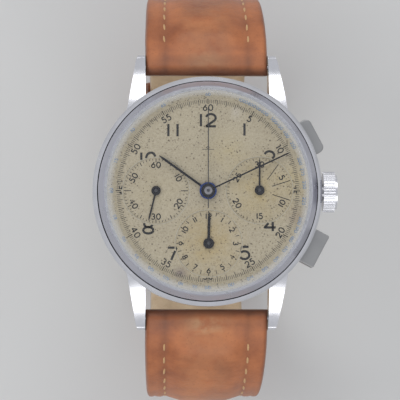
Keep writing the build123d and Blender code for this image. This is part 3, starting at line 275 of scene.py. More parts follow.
def make_ruby():
    shader = Shader("ruby", Roughness=0.08, IOR=1.76)
    shader.color(shader.mix(shader.noise(0.4), (0.35, 0.01, 0.05, 1), (0.7, 0.04, 0.14, 1)))
    return shader.material


SECONDS = (-8.45, 0.0)
MINUTES = (8.4, 0.1)
HOURS = (0.1, -8.55)


def make_dial():
    """Aged cream-grey enamel with patina, fine foxing and a few stains."""
    shader = Shader("dial_enamel", Roughness=0.6)
    cloud = shader.noise(7.0, 6.0)
    grain = shader.noise(0.35, 4.0)
    ground = shader.mix(cloud, srgb(164, 153, 130), srgb(188, 178, 154))
    ground = shader.mix(shader.ramp(grain, 0.35, 0.7, 0.0, 0.42), ground, srgb(136, 124, 98))
    stains = [(HOURS, 6.8, (172, 146, 84), 0.75), (MINUTES, 6.8, (172, 150, 92), 0.7),
              ((14.5, 2.0), 4.0, (178, 160, 110), 0.45), (SECONDS, 5.5, (170, 156, 120), 0.3),
              ((3.0, 6.5), 4.5, (182, 164, 112), 0.4), ((-4.5, -13.3), 1.5, (96, 80, 92), 0.75),
              ((14.3, -4.2), 2.0, (128, 104, 92), 0.6), ((4.7, 12.6), 1.5, (196, 190, 180), 0.6)]
    for place, radius, tone, strength in stains:
        spot = shader.near((place[0], place[1], DIAL_TOP), radius)
        spot = shader.math("MULTIPLY", spot, shader.ramp(shader.noise(1.6, 5.0), 0.3, 0.7, 0.3, 1.0))
        ground = shader.mix(shader.math("MULTIPLY", spot, strength), ground, srgb(*tone))
    for size, limit, strength in ((0.55, 0.15, 0.75), (0.9, 0.11, 0.8),
                                  (0.34, 0.14, 0.6), (0.24, 0.15, 0.45)):
        dots = shader.ramp(shader.cells(size), limit, limit + 0.08, 1.0, 0.0)
        patches = shader.ramp(shader.noise(2.2 + size, 3.0), 0.40, 0.56, 0.15, strength)
        ground = shader.mix(shader.math("MULTIPLY", dots, patches), ground, srgb(74, 62, 44))
    shader.color(ground)
    shader.rough(shader.ramp(cloud, 0.3, 0.7, 0.5, 0.7))
    shader.bump(grain, 0.12, 0.02)
    return shader.material


def make_hand(name, tone, hub_tone=None, metallic=0.4):
    shader = Shader(name, Roughness=0.3, Metallic=metallic)
    worn = shader.noise(0.6, 5.0)
    color = shader.mix(worn, tone, scaled(tone, 1.8))
    if hub_tone:
        color = shader.mix(shader.math("GREATER_THAN", shader.near((0, 0, DIAL_TOP + 0.7), 3.0), 0.5),
                           color, hub_tone)
    shader.color(color)
    shader.rough(shader.ramp(worn, 0.3, 0.7, 0.22, 0.45))
    return shader.material


def make_sweep_hand():
    """Grey steel hand whose round cap is lighter, with a dark rim."""
    shader = Shader("sweep_hand_steel", Metallic=0.3)
    worn = shader.noise(0.6, 5.0)
    reach = shader.near((0, 0, DIAL_TOP + 1.2), 3.0)
    cap = shader.math("GREATER_THAN", reach, 0.78)
    rim = shader.math("GREATER_THAN", reach, 0.68)
    color = shader.mix(rim, (0.035, 0.037, 0.043, 1), (0.012, 0.012, 0.014, 1))
    shader.color(shader.mix(cap, color, shader.mix(worn, (0.16, 0.16, 0.18, 1), (0.30, 0.30, 0.32, 1))))
    shader.rough(shader.ramp(worn, 0.3, 0.7, 0.3, 0.5))
    return shader.material


def make_print(name, tone, worn_tone):
    """Dial printing that has thinned with age."""
    shader = Shader(name, Roughness=0.55)
    shader.color(shader.mix(shader.ramp(shader.noise(0.5, 5.0), 0.45, 0.75), tone, worn_tone))
    shader.rough(shader.ramp(shader.noise(0.3), 0.3, 0.7, 0.45, 0.65))
    return shader.material


def make_leather(name, dark, light, scuff_and_highlight_tone, grain_size=0.55):
    """Smooth calf leather: drawn colour, pores, creases, scuffs and a painted crown highlight from the
    wear attribute, and painted shade from the shade attribute.
    """
    shader = Shader(name, Sheen_Weight=0.12, Coat_Weight=0.12, Coat_Roughness=0.35)
    cloud = shader.noise(6.0, 6.0)
    streak = shader.noise(1.6, 5.0, shader.stretched((0.35, 1, 1)))
    color = shader.mix(shader.ramp(cloud, 0.25, 0.62), dark, light)
    color = shader.mix(shader.ramp(streak, 0.52, 0.78, 0.0, 0.35), color, dark)
    worn = shader.add("ShaderNodeAttribute", attribute_name="wear").outputs["Fac"]
    patch = shader.math("MULTIPLY", worn, shader.ramp(shader.noise(2.5, 6.0), 0.34, 0.54))
    # The wear attribute lays a lighter tone for real scuffs and for a painted highlight along the pad's
    # crown.
    color = shader.mix(patch, color, scuff_and_highlight_tone)
    shade = shader.add("ShaderNodeAttribute", attribute_name="shade").outputs["Fac"]
    color = shader.mix(shade, color, scaled(dark, 0.28))
    pores = shader.cells(grain_size)
    color = shader.mix(shader.ramp(pores, 0.0, 0.25, 0.35, 0.0), color, scaled(dark, 0.5))
    shader.color(color)
    shader.rough(shader.ramp(cloud, 0.3, 0.7, 0.42, 0.6))
    height = shader.math("ADD", shader.math("MULTIPLY", pores, 0.7), shader.noise(0.9, 6.0))
    shader.bump(height, 0.35, 0.12)
    return shader.material


CRYSTAL = make_crystal()
RUBY = make_ruby()
DIAL = make_dial()
BLACK_HAND = make_hand("black_hands", (0.006, 0.006, 0.009, 1))
HOUR_HAND = make_hand("hour_hand_steel", (0.006, 0.006, 0.009, 1), (0.012, 0.045, 0.20, 1))
GREY_HAND = make_sweep_hand()
BLACK_PRINT = make_print("black_print", (0.004, 0.004, 0.005, 1), (0.035, 0.03, 0.027, 1))
FINE_PRINT = make_print("fine_print", (0.02, 0.018, 0.017, 1), (0.09, 0.08, 0.065, 1))
BLUE_PRINT = make_print("blue_print", (0.07, 0.17, 0.33, 1), (0.22, 0.3, 0.36, 1))
# Pale tone for the painted highlight on the rims of the sunk small dials.
RIM_HIGHLIGHT_INK = make_print("rim_highlight_ink", (0.46, 0.44, 0.36, 1), (0.36, 0.34, 0.27, 1))
LEATHER = make_leather("strap_leather", srgb(134, 72, 38), srgb(186, 112, 66), srgb(200, 156, 112))
LINING = make_leather("strap_lining", srgb(178, 150, 116), srgb(212, 188, 156), srgb(190, 160, 124), 0.35)
EDGE = make_leather("strap_edge", srgb(72, 34, 16), srgb(104, 52, 26), srgb(150, 90, 54), 0.3)


def make_thread():
    shader = Shader("stitching_thread", Roughness=0.8, Sheen_Weight=0.3)
    twist = shader.noise(0.18, 3.0, shader.stretched((1, 1, 2)))
    shader.color(shader.mix(twist, srgb(178, 130, 78), srgb(218, 182, 134)))
    shader.bump(twist, 0.5, 0.05)
    return shader.material


THREAD = make_thread()


def paint(names, material):
    for name in names:
        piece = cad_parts[name]
        piece.data.materials.clear()
        piece.data.materials.append(material)


paint(["case_middle", "crown", "buckle_frame", "buckle_tongue"], POLISHED)
paint(["pusher_top", "pusher_bottom"], PUSHER_STEEL)
paint(["bezel"], BEZEL_STEEL)
paint(["case_back", "spring_bars", "crown_tube", "pusher_tubes", "pusher_springs"], CASE_STEEL)
paint(["main_plate", "barrel_bridge", "train_bridge", "balance_cock", "pallet_bridge",
       "chronograph_bridge", "movement_ring"], RHODIUM)
paint(["barrel", "centre_wheel", "third_wheel", "fourth_wheel", "minute_wheel", "hour_wheel",
       "chrono_runner", "minute_runner", "hour_runner", "clutch_wheel", "balance_wheel"], BRASS)
paint(["mainspring", "hairspring", "bridge_screws"], BLUED)
paint(["barrel_arbor", "ratchet_wheel", "crown_wheel", "click", "escape_wheel", "pallet_fork",
       "cannon_pinion", "winding_stem", "winding_pinion", "setting_lever", "clutch_lever",
       "column_wheel", "operating_lever", "reset_hammer"], MOVEMENT_STEEL)
paint(["jewels"], RUBY)
paint(["crystal"], CRYSTAL)
paint(["dial"], DIAL)
paint(["minute_hand", "small_seconds_hand", "minute_counter_hand", "hour_counter_hand"], BLACK_HAND)
paint(["hour_hand"], HOUR_HAND)
paint(["chrono_seconds_hand"], GREY_HAND)


# ---------------------------------------------------------------- mesh helpers
def plain_object(name, bm):
    """Object from a bmesh in millimetres."""
    bmesh.ops.scale(bm, vec=(MM, MM, MM), verts=bm.verts)
    mesh = bpy.data.meshes.new(name)
    bm.to_mesh(mesh)
    bm.free()
    thing = bpy.data.objects.new(name, mesh)
    bpy.context.scene.collection.objects.link(thing)
    return thing


def new_piece(name, bm, material, body, smooth=True):
    """Turns a bmesh in millimetres into a piece that rides on a body."""
    piece = plain_object(name, bm)
    piece.data.materials.append(material)
    if smooth:
        piece.data.shade_smooth()
    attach(piece, body)
    return piece


def polar(clock_degrees, radius, centre=(0, 0)):
    """Point at a clockwise angle from twelve o'clock."""
    angle = math.radians(90 - clock_degrees)
    return Vector((centre[0] + radius * math.cos(angle), centre[1] + radius * math.sin(angle)))


def ribbon(bm, points, width, low, high):
    """Closed flat strip along a line of 2-D points."""
    count = len(points)
    if count < 2:
        return
    rows = []
    for index, point in enumerate(points):
        before = points[max(index - 1, 0)]
        after = points[min(index + 1, count - 1)]
        along = (after - before).normalized()
        side = Vector((-along.y, along.x)) * width / 2
        corners = (point + side, point - side)
        rows.append([bm.verts.new((c.x, c.y, z)) for z in (high, low) for c in corners])
    for first, second in zip(rows, rows[1:]):
        for a, b in ((0, 1), (1, 3), (3, 2), (2, 0)):
            bm.faces.new((first[a], second[a], second[b], first[b]))
    bm.faces.new((rows[0][0], rows[0][1], rows[0][3], rows[0][2]))
    bm.faces.new((rows[-1][2], rows[-1][3], rows[-1][1], rows[-1][0]))


# ---------------------------------------------------------------- one stroke font for all figures
def arc(x, y, rx, ry, start, end, steps=14):
    angles = [math.radians(start + (end - start) * step / steps) for step in range(steps + 1)]
    return [(x + rx * math.cos(angle), y + ry * math.sin(angle)) for angle in angles]


GLYPHS = {
    "0": (0.70, [arc(0.35, 0.5, 0.35, 0.5, 90, 450, 24)]),
    "1": (0.12, [[(0.06, 0.0), (0.06, 1.0)]]),
    "2": (0.68, [arc(0.34, 0.68, 0.32, 0.32, 165, -35, 12) + [(0.02, 0.0)], [(0.0, 0.0), (0.68, 0.0)]]),
    "3": (0.62, [arc(0.28, 0.75, 0.27, 0.25, 150, -90, 12), arc(0.28, 0.26, 0.32, 0.26, 90, -150, 14)]),
    "4": (0.76, [[(0.56, 0.0), (0.56, 1.0), (0.0, 0.3), (0.76, 0.3)]]),
    "5": (0.62, [[(0.56, 1.0), (0.12, 1.0)] + arc(0.28, 0.32, 0.32, 0.32, 125, -150, 14)]),
    "6": (0.64, [[(0.48, 1.0), (0.06, 0.44)], arc(0.32, 0.31, 0.31, 0.31, 0, 360, 20)]),
    "7": (0.64, [[(0.0, 1.0), (0.64, 1.0)], [(0.64, 1.0), (0.24, 0.0)]]),
    "8": (0.64, [arc(0.32, 0.75, 0.25, 0.25, 0, 360, 18), arc(0.32, 0.26, 0.31, 0.26, 0, 360, 20)]),
    "9": (0.64, [[(0.16, 0.0), (0.58, 0.56)], arc(0.32, 0.69, 0.31, 0.31, 0, 360, 20)]),
}
GLYPH_GAP = 0.3


def figure_lines(text, centre, height, lean, stretch=1.0, gap=GLYPH_GAP):
    """Strokes of a number, centred on a point and leaned by clockwise degrees."""
    total = sum(GLYPHS[mark][0] for mark in text) * stretch + gap * (len(text) - 1)
    angle = math.radians(-lean)
    lines = []
    start = -total / 2
    for mark in text:
        width, strokes = GLYPHS[mark]
        for stroke in strokes:
            line = []
            for x, y in stroke:
                local = Vector(((start + x * stretch) * height, (y - 0.5) * height))
                turned = Vector((local.x * math.cos(angle) - local.y * math.sin(angle),
                                 local.x * math.sin(angle) + local.y * math.cos(angle)))
                line.append(Vector(centre) + turned)
            lines.append(line)
        start += width * stretch + gap
    return lines


def resampled(line, step=0.08):
    """Adds points so that a line can be cut cleanly."""
    result = [line[0]]
    for first, second in zip(line, line[1:]):
        parts = max(1, int((second - first).length / step))
        result += [first.lerp(second, part / parts) for part in range(1, parts + 1)]
    return result


def register_runs(line, nearest, farthest=99.0):
    """The runs of a line whose distance from the nearest small dial's centre lies in a range."""
    runs = [[]]
    for point in resampled(line):
        reach = min((point - Vector(centre)).length for centre in (SECONDS, MINUTES, HOURS))
        if nearest <= reach <= farthest:
            runs[-1].append(point)
        elif runs[-1]:
            runs.append([])
    return [run for run in runs if len(run) > 1]


REGISTER_RADIUS = 5.4
CLEAR_RADIUS = REGISTER_RADIUS + 0.12
PRINT_RADIUS = 5.08
REGISTER_DEPTH = 0.12
REGISTER_FLOOR = DIAL_TOP - REGISTER_DEPTH
INK = 0.02
INK_LIFT = 0.006


def printing(name, marks, material, floor):
    """One piece of dial printing from (points, stroke width) pairs."""
    bm = bmesh.new()
    for line, width in marks:
        ribbon(bm, [Vector(point) for point in line], width, floor + INK_LIFT, floor + INK_LIFT + INK)
    new_piece(name, bm, material, "case", smooth=False)


def tick(clock_degrees, inner, outer, width, centre=(0, 0)):
    return ([polar(clock_degrees, inner, centre), polar(clock_degrees, outer, centre)], width)


def ring_lean(clock_degrees):
    """Figures follow the ring, and turn over in its lower half."""
    return clock_degrees if math.cos(math.radians(clock_degrees)) > -0.01 else clock_degrees - 180


def ring_figure(text, clock_degrees, radius, height, width, centre=(0, 0)):
    middle = polar(clock_degrees, radius, centre)
    return [(line, width) for line in figure_lines(text, middle, height, ring_lean(clock_degrees))]


# Hour figures, cut where they meet the small dials
HOUR_HEIGHT = 2.0
HOUR_STROKE = 0.37
HOUR_PLACES = {"12": (0.0, 11.5), "1": (5.94, 10.0), "2": (10.0, 5.45), "4": (10.1, -5.55),
               "5": (6.0, -10.1), "7": (-5.8, -10.25), "8": (-9.7, -5.95), "10": (-9.75, 5.2),
               "11": (-5.7, 9.86)}
HOUR_STRETCH = {"4": 1.2, "8": 1.32, "7": 1.1, "10": 1.1}
SUNK_FIGURES = ("5", "7")
hour_marks = []
sunk_marks = []
for text, place in HOUR_PLACES.items():
    gap = 0.6 if text == "11" else 0.32
    for line in figure_lines(text, place, HOUR_HEIGHT, 0, HOUR_STRETCH.get(text, 1.22), gap):
        hour_marks += [(run, HOUR_STROKE) for run in register_runs(line, CLEAR_RADIUS)]
        if text in SUNK_FIGURES:
            sunk = register_runs(line, PRINT_RADIUS, CLEAR_RADIUS + 0.05)
            sunk_marks += [(run, HOUR_STROKE) for run in sunk]
printing("hour_figures", hour_marks, BLACK_PRINT, DIAL_TOP)
printing("hour_figures_sunk", sunk_marks, BLACK_PRINT, REGISTER_FLOOR)

# Seconds track: fifths, whole seconds and figures every five seconds
TRACK_INNER = 14.25
TRACK_OUTER = 14.85
fine_marks = []
for fifth in range(300):
    whole = fifth % 5 == 0
    inner = TRACK_INNER - (0.32 if whole and fifth % 25 else 0)
    fine_marks.append(tick(fifth * 1.2, inner, TRACK_OUTER, 0.1 if whole else 0.07))
printing("seconds_track", fine_marks, FINE_PRINT, DIAL_TOP)
second_marks = []
for second in range(5, 65, 5):
    way = second * 6
    radius = 13.9 if second in (15, 30, 45) else 13.55
    for line, width in ring_figure(str(second), way, radius, 0.94, 0.18):
        second_marks += [(run, width) for run in register_runs(line, CLEAR_RADIUS)]
    second_marks.append(tick(way, TRACK_INNER - 0.1, TRACK_OUTER + 0.15, 0.13))
printing("seconds_figures", second_marks, BLACK_PRINT, DIAL_TOP)

# Speed scale over a known distance: the figure stands where a run of that many seconds ends
SCALE_RADIUS = 15.72
SCALE_HEIGHT = 0.46
SCALE_VALUES = [1000, 800, 700, 600, 500, 450, 400, 350, 300, 275, 250, 225, 200, 190, 180, 170, 160,
                150, 140, 130, 120, 115, 110, 105, 100, 95, 90, 85, 80, 75, 70, 65, 60]
scale_marks = []
for value in SCALE_VALUES:
    way = 3600 / value * 6
    middle = polar(way, SCALE_RADIUS)
    scale_marks += [(line, 0.1) for line in figure_lines(str(value), middle, SCALE_HEIGHT, way)]
for value in range(62, 130, 2):
    scale_marks.append(tick(3600 / value * 6, SCALE_RADIUS - 0.42, SCALE_RADIUS - 0.34, 0.07))
printing("speed_scale", scale_marks, BLUE_PRINT, DIAL_TOP)

# Dotted arrow that shows the reading direction, left of twelve
arrow = [tick(way, 15.14, 15.22, 0.09) for way in range(-14, -2, 2)]
arrow.append(([polar(-2.6, 15.36), polar(-0.9, 15.18), polar(-2.6, 15.0)], 0.09))
arrow += [tick(way, 15.14, 15.22, 0.1) for way in (3, 9, -19, -24)]
printing("scale_arrow", arrow, FINE_PRINT, DIAL_TOP)

# A plain neutral ornament below twelve
ornament = [([(-1.0, 6.75), (1.0, 6.75)], 0.07),
            ([(-0.32, 7.05), (0, 7.25), (0.32, 7.05), (0, 6.86), (-0.32, 7.05)], 0.07)]
printing("dial_ornament", ornament, FINE_PRINT, DIAL_TOP)

# Small seconds
seconds_marks = []
for second in range(60):
    way = second * 6
    long_mark = second % 5 == 0
    inner = 4.05 if second % 15 == 0 and second % 10 else 4.62
    if long_mark:
        seconds_marks.append(tick(way, inner, 5.22, 0.12, SECONDS))
    else:
        seconds_marks.append(tick(way, 4.92, 5.22, 0.09, SECONDS))
for second in range(10, 70, 10):
    seconds_marks += ring_figure(str(second), second * 6, 4.2, 0.88, 0.18, SECONDS)
printing("small_seconds_print", seconds_marks, BLACK_PRINT, REGISTER_FLOOR)

# Thirty-minute counter, with long lines for the telephone minutes
minute_marks = []
for minute in range(30):
    way = minute * 12
    minute_marks.append(tick(way, 4.92, 5.22, 0.1, MINUTES))
    minute_marks.append(tick(way + 6, 5.05, 5.22, 0.07, MINUTES))
for minute in (3, 6, 9):
    minute_marks.append(tick(minute * 12, 2.2, 5.2, 0.12, MINUTES))
for minute in range(5, 35, 5):
    minute_marks += ring_figure(str(minute), minute * 12, 4.2, 0.88, 0.18, MINUTES)
printing("minute_counter_print", minute_marks, BLACK_PRINT, REGISTER_FLOOR)

# Twelve-hour counter
counter_marks = []
for half in range(24):
    way = half * 15
    if half % 2:
        counter_marks.append(tick(way, 4.55, 5.15, 0.1, HOURS))
    else:
        counter_marks.append(tick(way, 5.0, 5.22, 0.17, HOURS))
for hour in range(1, 13):
    counter_marks += ring_figure(str(hour), hour * 30, 4.42, 0.8, 0.17, HOURS)
printing("hour_counter_print", counter_marks, BLACK_PRINT, REGISTER_FLOOR)

# Painted highlight: a pale ring on the rim of each sunk small dial, where its edge catches the light
for name, centre in (("seconds", SECONDS), ("minutes", MINUTES), ("hours", HOURS)):
    rim_highlight_ring = [polar(way, REGISTER_RADIUS + 0.06, centre) for way in range(0, 365, 5)]
    printing("register_rim_light_" + name, [(rim_highlight_ring, 0.07)], RIM_HIGHLIGHT_INK, DIAL_TOP - 0.008)


# ---------------------------------------------------------------- strap
# The strap's line in side view, as (y, z) in millimetres, follows the same tangent arcs
# as the frame's straps.
BAR_LOW, BAR_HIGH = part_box("spring_bars")
BAR_RADIUS = 0.75
BAR_REACH = BAR_HIGH.y / MM - BAR_RADIUS
BAR_HEIGHT = (BAR_LOW.z + BAR_HIGH.z) / 2 / MM
START_SLOPE = math.radians(20)
HALF_EXTENT = 32.5
TURN_RADIUS = 27.0
LAYER_OFFSET = 5.4
TAIL_TURN = math.radians(32)
ROLL_RADIUS = 1.45
SHOULDER_RADIUS = (HALF_EXTENT - BAR_REACH) / (1 - math.sin(START_SLOPE))
SHOULDER = Vector((BAR_REACH - SHOULDER_RADIUS * math.sin(START_SLOPE),
                   BAR_HEIGHT - SHOULDER_RADIUS * math.cos(START_SLOPE)))
SHORT_END = 1.6
END_WIDTH = 16.0
STRAP_LOW, STRAP_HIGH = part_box("strap_12")
FULL_WIDTH = (STRAP_HIGH.x - STRAP_LOW.x) / MM + 0.1
TAPER_HEIGHT = 44.0
HALF_THICKNESS = 1.2
TAIL_LENGTH = 9.0
LINE_STEP = 0.6
ROLL_STEPS = 9


def strap_line(is_long):
    """Points (y, z, outward direction, run) along one strap half."""
    turn_radius = TURN_RADIUS + (LAYER_OFFSET if is_long else 0)
    centre = Vector((HALF_EXTENT - turn_radius, SHOULDER.y))
    pieces = [("arc", SHOULDER, SHOULDER_RADIUS, math.pi / 2 - START_SLOPE, 0.0),
              ("arc", centre, turn_radius, 0.0, -math.pi / 2)]
    if is_long:
        tail_centre = Vector((TURN_RADIUS - HALF_EXTENT, SHOULDER.y))
        pieces.append(("flat", centre.x, tail_centre.x, SHOULDER.y - turn_radius))
        pieces.append(("arc", tail_centre, turn_radius, -math.pi / 2, -math.pi / 2 - TAIL_TURN))
    else:
        pieces.append(("flat", centre.x, SHORT_END, SHOULDER.y - turn_radius))
    line = []
    run = 0.0
    start_out = Vector((math.sin(START_SLOPE), math.cos(START_SLOPE)))
    heading = Vector((math.cos(START_SLOPE), -math.sin(START_SLOPE)))
    bar = Vector((BAR_REACH, BAR_HEIGHT))
    for step in range(ROLL_STEPS):
        back = -ROLL_RADIUS * math.cos(math.pi / 2 * step / ROLL_STEPS)
        line.append((bar + heading * back, start_out, back))
    for piece in pieces:
        if piece[0] == "arc":
            _, middle, radius, start, end = piece
            length = abs(end - start) * radius
            count = max(2, int(length / LINE_STEP))
            for step in range(count):
                angle = start + (end - start) * step / count
                out = Vector((math.cos(angle), math.sin(angle)))
                line.append((middle + out * radius, out, run + length * step / count))
        else:
            _, first, last, height = piece
            length = abs(last - first)
            count = max(2, int(length / LINE_STEP))
            for step in range(count):
                y = first + (last - first) * step / count
                line.append((Vector((y, height)), Vector((0, -1)), run + length * step / count))
        run += length
    return line, run


def strap_half_width(height):
    share = min(max(-height / TAPER_HEIGHT, 0.0), 1.0)
    return (FULL_WIDTH + (END_WIDTH - FULL_WIDTH) * share) / 2


STITCH_INSET = 3.1
PAD_HEIGHT = 0.85
SECTION_STEPS = 56
EDGE_ROUND = 0.55


def smooth_step(value, low, high):
    share = min(max((value - low) / (high - low), 0.0), 1.0)
    return share * share * (3 - 2 * share)


def pad_share(run, is_long):
    """How far the padding stands at a run from the spring bar: full near the case, none at the buckle."""
    fade = 62.0 if is_long else 50.0
    return smooth_step(run, 1.6, 6.0) * (1 - smooth_step(run, 8.0, fade))


def surface_height(x, half_width, run, is_long):
    """Outward height of the strap's top over its flat line, in millimetres."""
    base = HALF_THICKNESS + 0.15 * (1 - smooth_step(run, 18, 26))
    inset = half_width - abs(x)
    crown_share = smooth_step(inset, STITCH_INSET + 0.1, STITCH_INSET + 3.2)
    pad = PAD_HEIGHT * pad_share(run, is_long) * crown_share
    groove = 0.22 * math.exp(-((inset - STITCH_INSET) / 0.34) ** 2) * smooth_step(run, 2.0, 4.0)
    fold = 0.12 * math.exp(-((inset - 1.3) / 0.16) ** 2) * smooth_step(run, 1.5, 3.0)
    return base + pad - groove - fold


def tail_trim(run, total, is_long):
    """Share of the width that is left near the pointed tail."""
    if not is_long:
        return 1.0
    left = total - run
    if left > TAIL_LENGTH:
        return 1.0
    return math.sqrt(max(1 - ((TAIL_LENGTH - left) / TAIL_LENGTH) ** 2.4, 0.02))


def build_strap(name, node, body, is_long):
    """Padded leather strap half: rolled end, crowned pad, sewn channel and turned edges."""
    line, total = strap_line(is_long)
    flip = -1 if is_long else 1
    bm = bmesh.new()
    wear_layer = bm.verts.layers.float.new("wear")
    shade_layer = bm.verts.layers.float.new("shade")
    rows = []
    for middle, out, run in line:
        half = strap_half_width(middle.y) * tail_trim(run, total, is_long)
        roll = 1.0
        if run < 0:
            roll = math.sqrt(max(1 - (run / ROLL_RADIUS) ** 2, 0.0009))
        end_fade = 1.0 if is_long else min(1.0, 0.35 + (total - run) / 1.2)
        row = []
        for step in range(SECTION_STEPS):
            angle = 2 * math.pi * step / SECTION_STEPS
            across = math.copysign(min(abs(math.cos(angle)) ** 0.62, 1.0), math.cos(angle))
            x = across * half
            limit = min((half - abs(x)) / EDGE_ROUND, 1.0)
            shape = math.sqrt(max(1 - (1 - limit) ** 2, 0.0))
            if math.sin(angle) >= 0:
                height = surface_height(x, half, run, is_long) * shape
            else:
                height = -(HALF_THICKNESS + 0.12 * (1 - smooth_step(run, 18, 26))) * shape
            height *= roll * end_fade
            place = middle + out * height
            vert = bm.verts.new((x, flip * place.x, place.y))
            inset = half - abs(x)
            top = 1.0 if math.sin(angle) > 0.02 else 0.0
            rub = math.exp(-((x / half) / 0.22) ** 2)
            rub *= smooth_step(run, -0.9, 0.1) * (1 - smooth_step(run, 0.8, 2.6))
            # Scuffing on the roll is real wear; the lift in the middle of the top face is a painted
            # highlight on the pad's crown.
            scuff_and_crown_highlight = rub * (0.95 if is_long else 0.3) + 0.12 * smooth_step(inset, 4.5, 7.5) * top
            vert[wear_layer] = scuff_and_crown_highlight * top
            dark = 0.6 * (1 - smooth_step(run, -1.4, -0.3))
            dark += 0.3 * math.exp(-((inset - STITCH_INSET) / 0.5) ** 2)
            dark += 0.32 * (1 - smooth_step(run, 0.7, 1.9))
            dark += 0.5 * (1 - smooth_step(inset, 0.0, 0.9))
            vert[shade_layer] = min(dark, 1.0) * (0.8 if top else 0.3)
            row.append(vert)
        rows.append(row)
    for first, second in zip(rows, rows[1:]):
        for step in range(SECTION_STEPS):
            following = (step + 1) % SECTION_STEPS
            corners = (first[step], second[step], second[following], first[following])
            face = bm.faces.new(corners if is_long else corners[::-1])
            turn_angle = 2 * math.pi * (step + 0.5) / SECTION_STEPS
            if math.sin(turn_angle) < -0.12:
                face.material_index = 1
            elif abs(math.sin(turn_angle)) <= 0.12:
                face.material_index = 2
    bm.faces.new(rows[0][::-1] if not is_long else rows[0])
    bm.faces.new(rows[-1] if not is_long else rows[-1][::-1])
    bmesh.ops.recalc_face_normals(bm, faces=bm.faces)
    strap = new_piece(name, bm, LEATHER, body)
    strap.data.materials.append(LINING)
    strap.data.materials.append(EDGE)
    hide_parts(node)
    return strap, line, total


def point_on(line, run):
    """Middle and outward direction at a run along the strap."""
    for first, second in zip(line, line[1:]):
        if first[2] <= run <= second[2]:
            share = (run - first[2]) / max(second[2] - first[2], 1e-6)
            return first[0].lerp(second[0], share), first[1].lerp(second[1], share).normalized()
    return line[-1][0], line[-1][1]


STITCH_START = 3.4
STITCH_PITCH = 2.6
STITCH_LENGTH = 1.9
STITCH_RADIUS = 0.2


def add_stitches(name, body, line, total, is_long):
    """Two rows of thread that lie in the sewn channels."""
    flip = -1 if is_long else 1
    bm = bmesh.new()
    last = total - (6.5 if is_long else 5.0)
    count = int((last - STITCH_START) / STITCH_PITCH)
    seats = [(STITCH_START + STITCH_PITCH * (index + 0.5), side)
             for index in range(count) for side in (-1, 1)]
    for run, side in seats:
        middle, out = point_on(line, run)
        half = strap_half_width(middle.y) * tail_trim(run, total, is_long)
        x = side * (half - STITCH_INSET)
        height = surface_height(x, half, run, is_long) + 0.02
        place = middle + out * height
        along = Vector((0, flip * out.y, -out.x))
        outward = Vector((0, flip * out.x, out.y))
        sideways = Vector((1, 0, 0))
        matrix = Matrix((sideways, outward, along)).transposed().to_4x4()
        matrix.translation = Vector((x + random.uniform(-0.04, 0.04), flip * place.x, place.y))
        tilt = Matrix.Rotation(random.uniform(-0.07, 0.07) + side * 0.05, 4, "Y")
        made = bmesh.ops.create_uvsphere(bm, u_segments=10, v_segments=8, radius=1.0)
        for vert in made["verts"]:
            squeeze = 1 - 0.35 * abs(vert.co.z) ** 3
            local = Vector((vert.co.x * STITCH_RADIUS * squeeze,
                            vert.co.y * STITCH_RADIUS * 0.75 * squeeze,
                            math.copysign(abs(vert.co.z) ** 0.7, vert.co.z) * STITCH_LENGTH / 2))
            local.y -= 0.12 * (local.z / (STITCH_LENGTH / 2)) ** 2
            vert.co = matrix @ (tilt @ local)
    new_piece(name, bm, THREAD, body)


HOLE_RADIUS = 0.9
HOLE_PITCH = 5.0
HOLE_COUNT = 6
FIRST_HOLE = 6.5
CUT_DEPTH = 6
SLOT_LENGTH = 5.4


def cut_away(piece, cutter):
    """Subtracts a closed mesh from a piece and removes the cutter."""
    modifier = piece.modifiers.new("cut", "BOOLEAN")
    modifier.operation = "DIFFERENCE"
    modifier.solver = "EXACT"
    modifier.object = cutter
    graph = bpy.context.evaluated_depsgraph_get()
    result = bpy.data.meshes.new_from_object(piece.evaluated_get(graph))
    piece.modifiers.clear()
    piece.data = result
    bpy.data.objects.remove(cutter)


def punch_holes(strap, line, total):
    bm = bmesh.new()
    for index in range(HOLE_COUNT):
        middle, out = point_on(line, total - FIRST_HOLE - HOLE_PITCH * index)
        outward = Vector((0, -out.x, out.y))
        matrix = Vector((0, 0, 1)).rotation_difference(outward).to_matrix().to_4x4()
        matrix.translation = Vector((0, -middle.x, middle.y))
        bmesh.ops.create_cone(bm, cap_ends=True, segments=24, radius1=HOLE_RADIUS, radius2=HOLE_RADIUS,
                              depth=CUT_DEPTH, matrix=matrix)
    cut_away(strap, plain_object("hole_cutter", bm))


def slot_for_tongue(strap):
    tongue_low, tongue_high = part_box("buckle_tongue")
    half = (tongue_high.x - tongue_low.x) / 2 / MM + 0.25
    bm = bmesh.new()
    matrix = Matrix.Translation(Vector((0, SHORT_END + 0.2, SHOULDER.y - TURN_RADIUS))) \
        @ Matrix.Diagonal((2 * half, SLOT_LENGTH, CUT_DEPTH, 1))
    bmesh.ops.create_cube(bm, size=1.0, matrix=matrix)
    cut_away(strap, plain_object("slot_cutter", bm))


short_strap, short_line, short_total = build_strap("strap_half_12", "strap_12", "strap_12", False)
long_strap, long_line, long_total = build_strap("strap_half_6", "strap_6", "strap_6", True)
punch_holes(long_strap, long_line, long_total)
slot_for_tongue(short_strap)
add_stitches("stitching_12", "strap_12", short_line, short_total, False)
add_stitches("stitching_6", "strap_6", long_line, long_total, True)


# ---------------------------------------------------------------- keepers
KEEPER_WALL = 0.9
KEEPER_SIDE_GAP = 0.3
KEEPER_LOWER_GAP = 0.15
KEEPER_SPARE = 1.4
KEEPER_LENGTH = 4.6
KEEPER_CORNER = 1.1
KEEPER_STEPS = 20


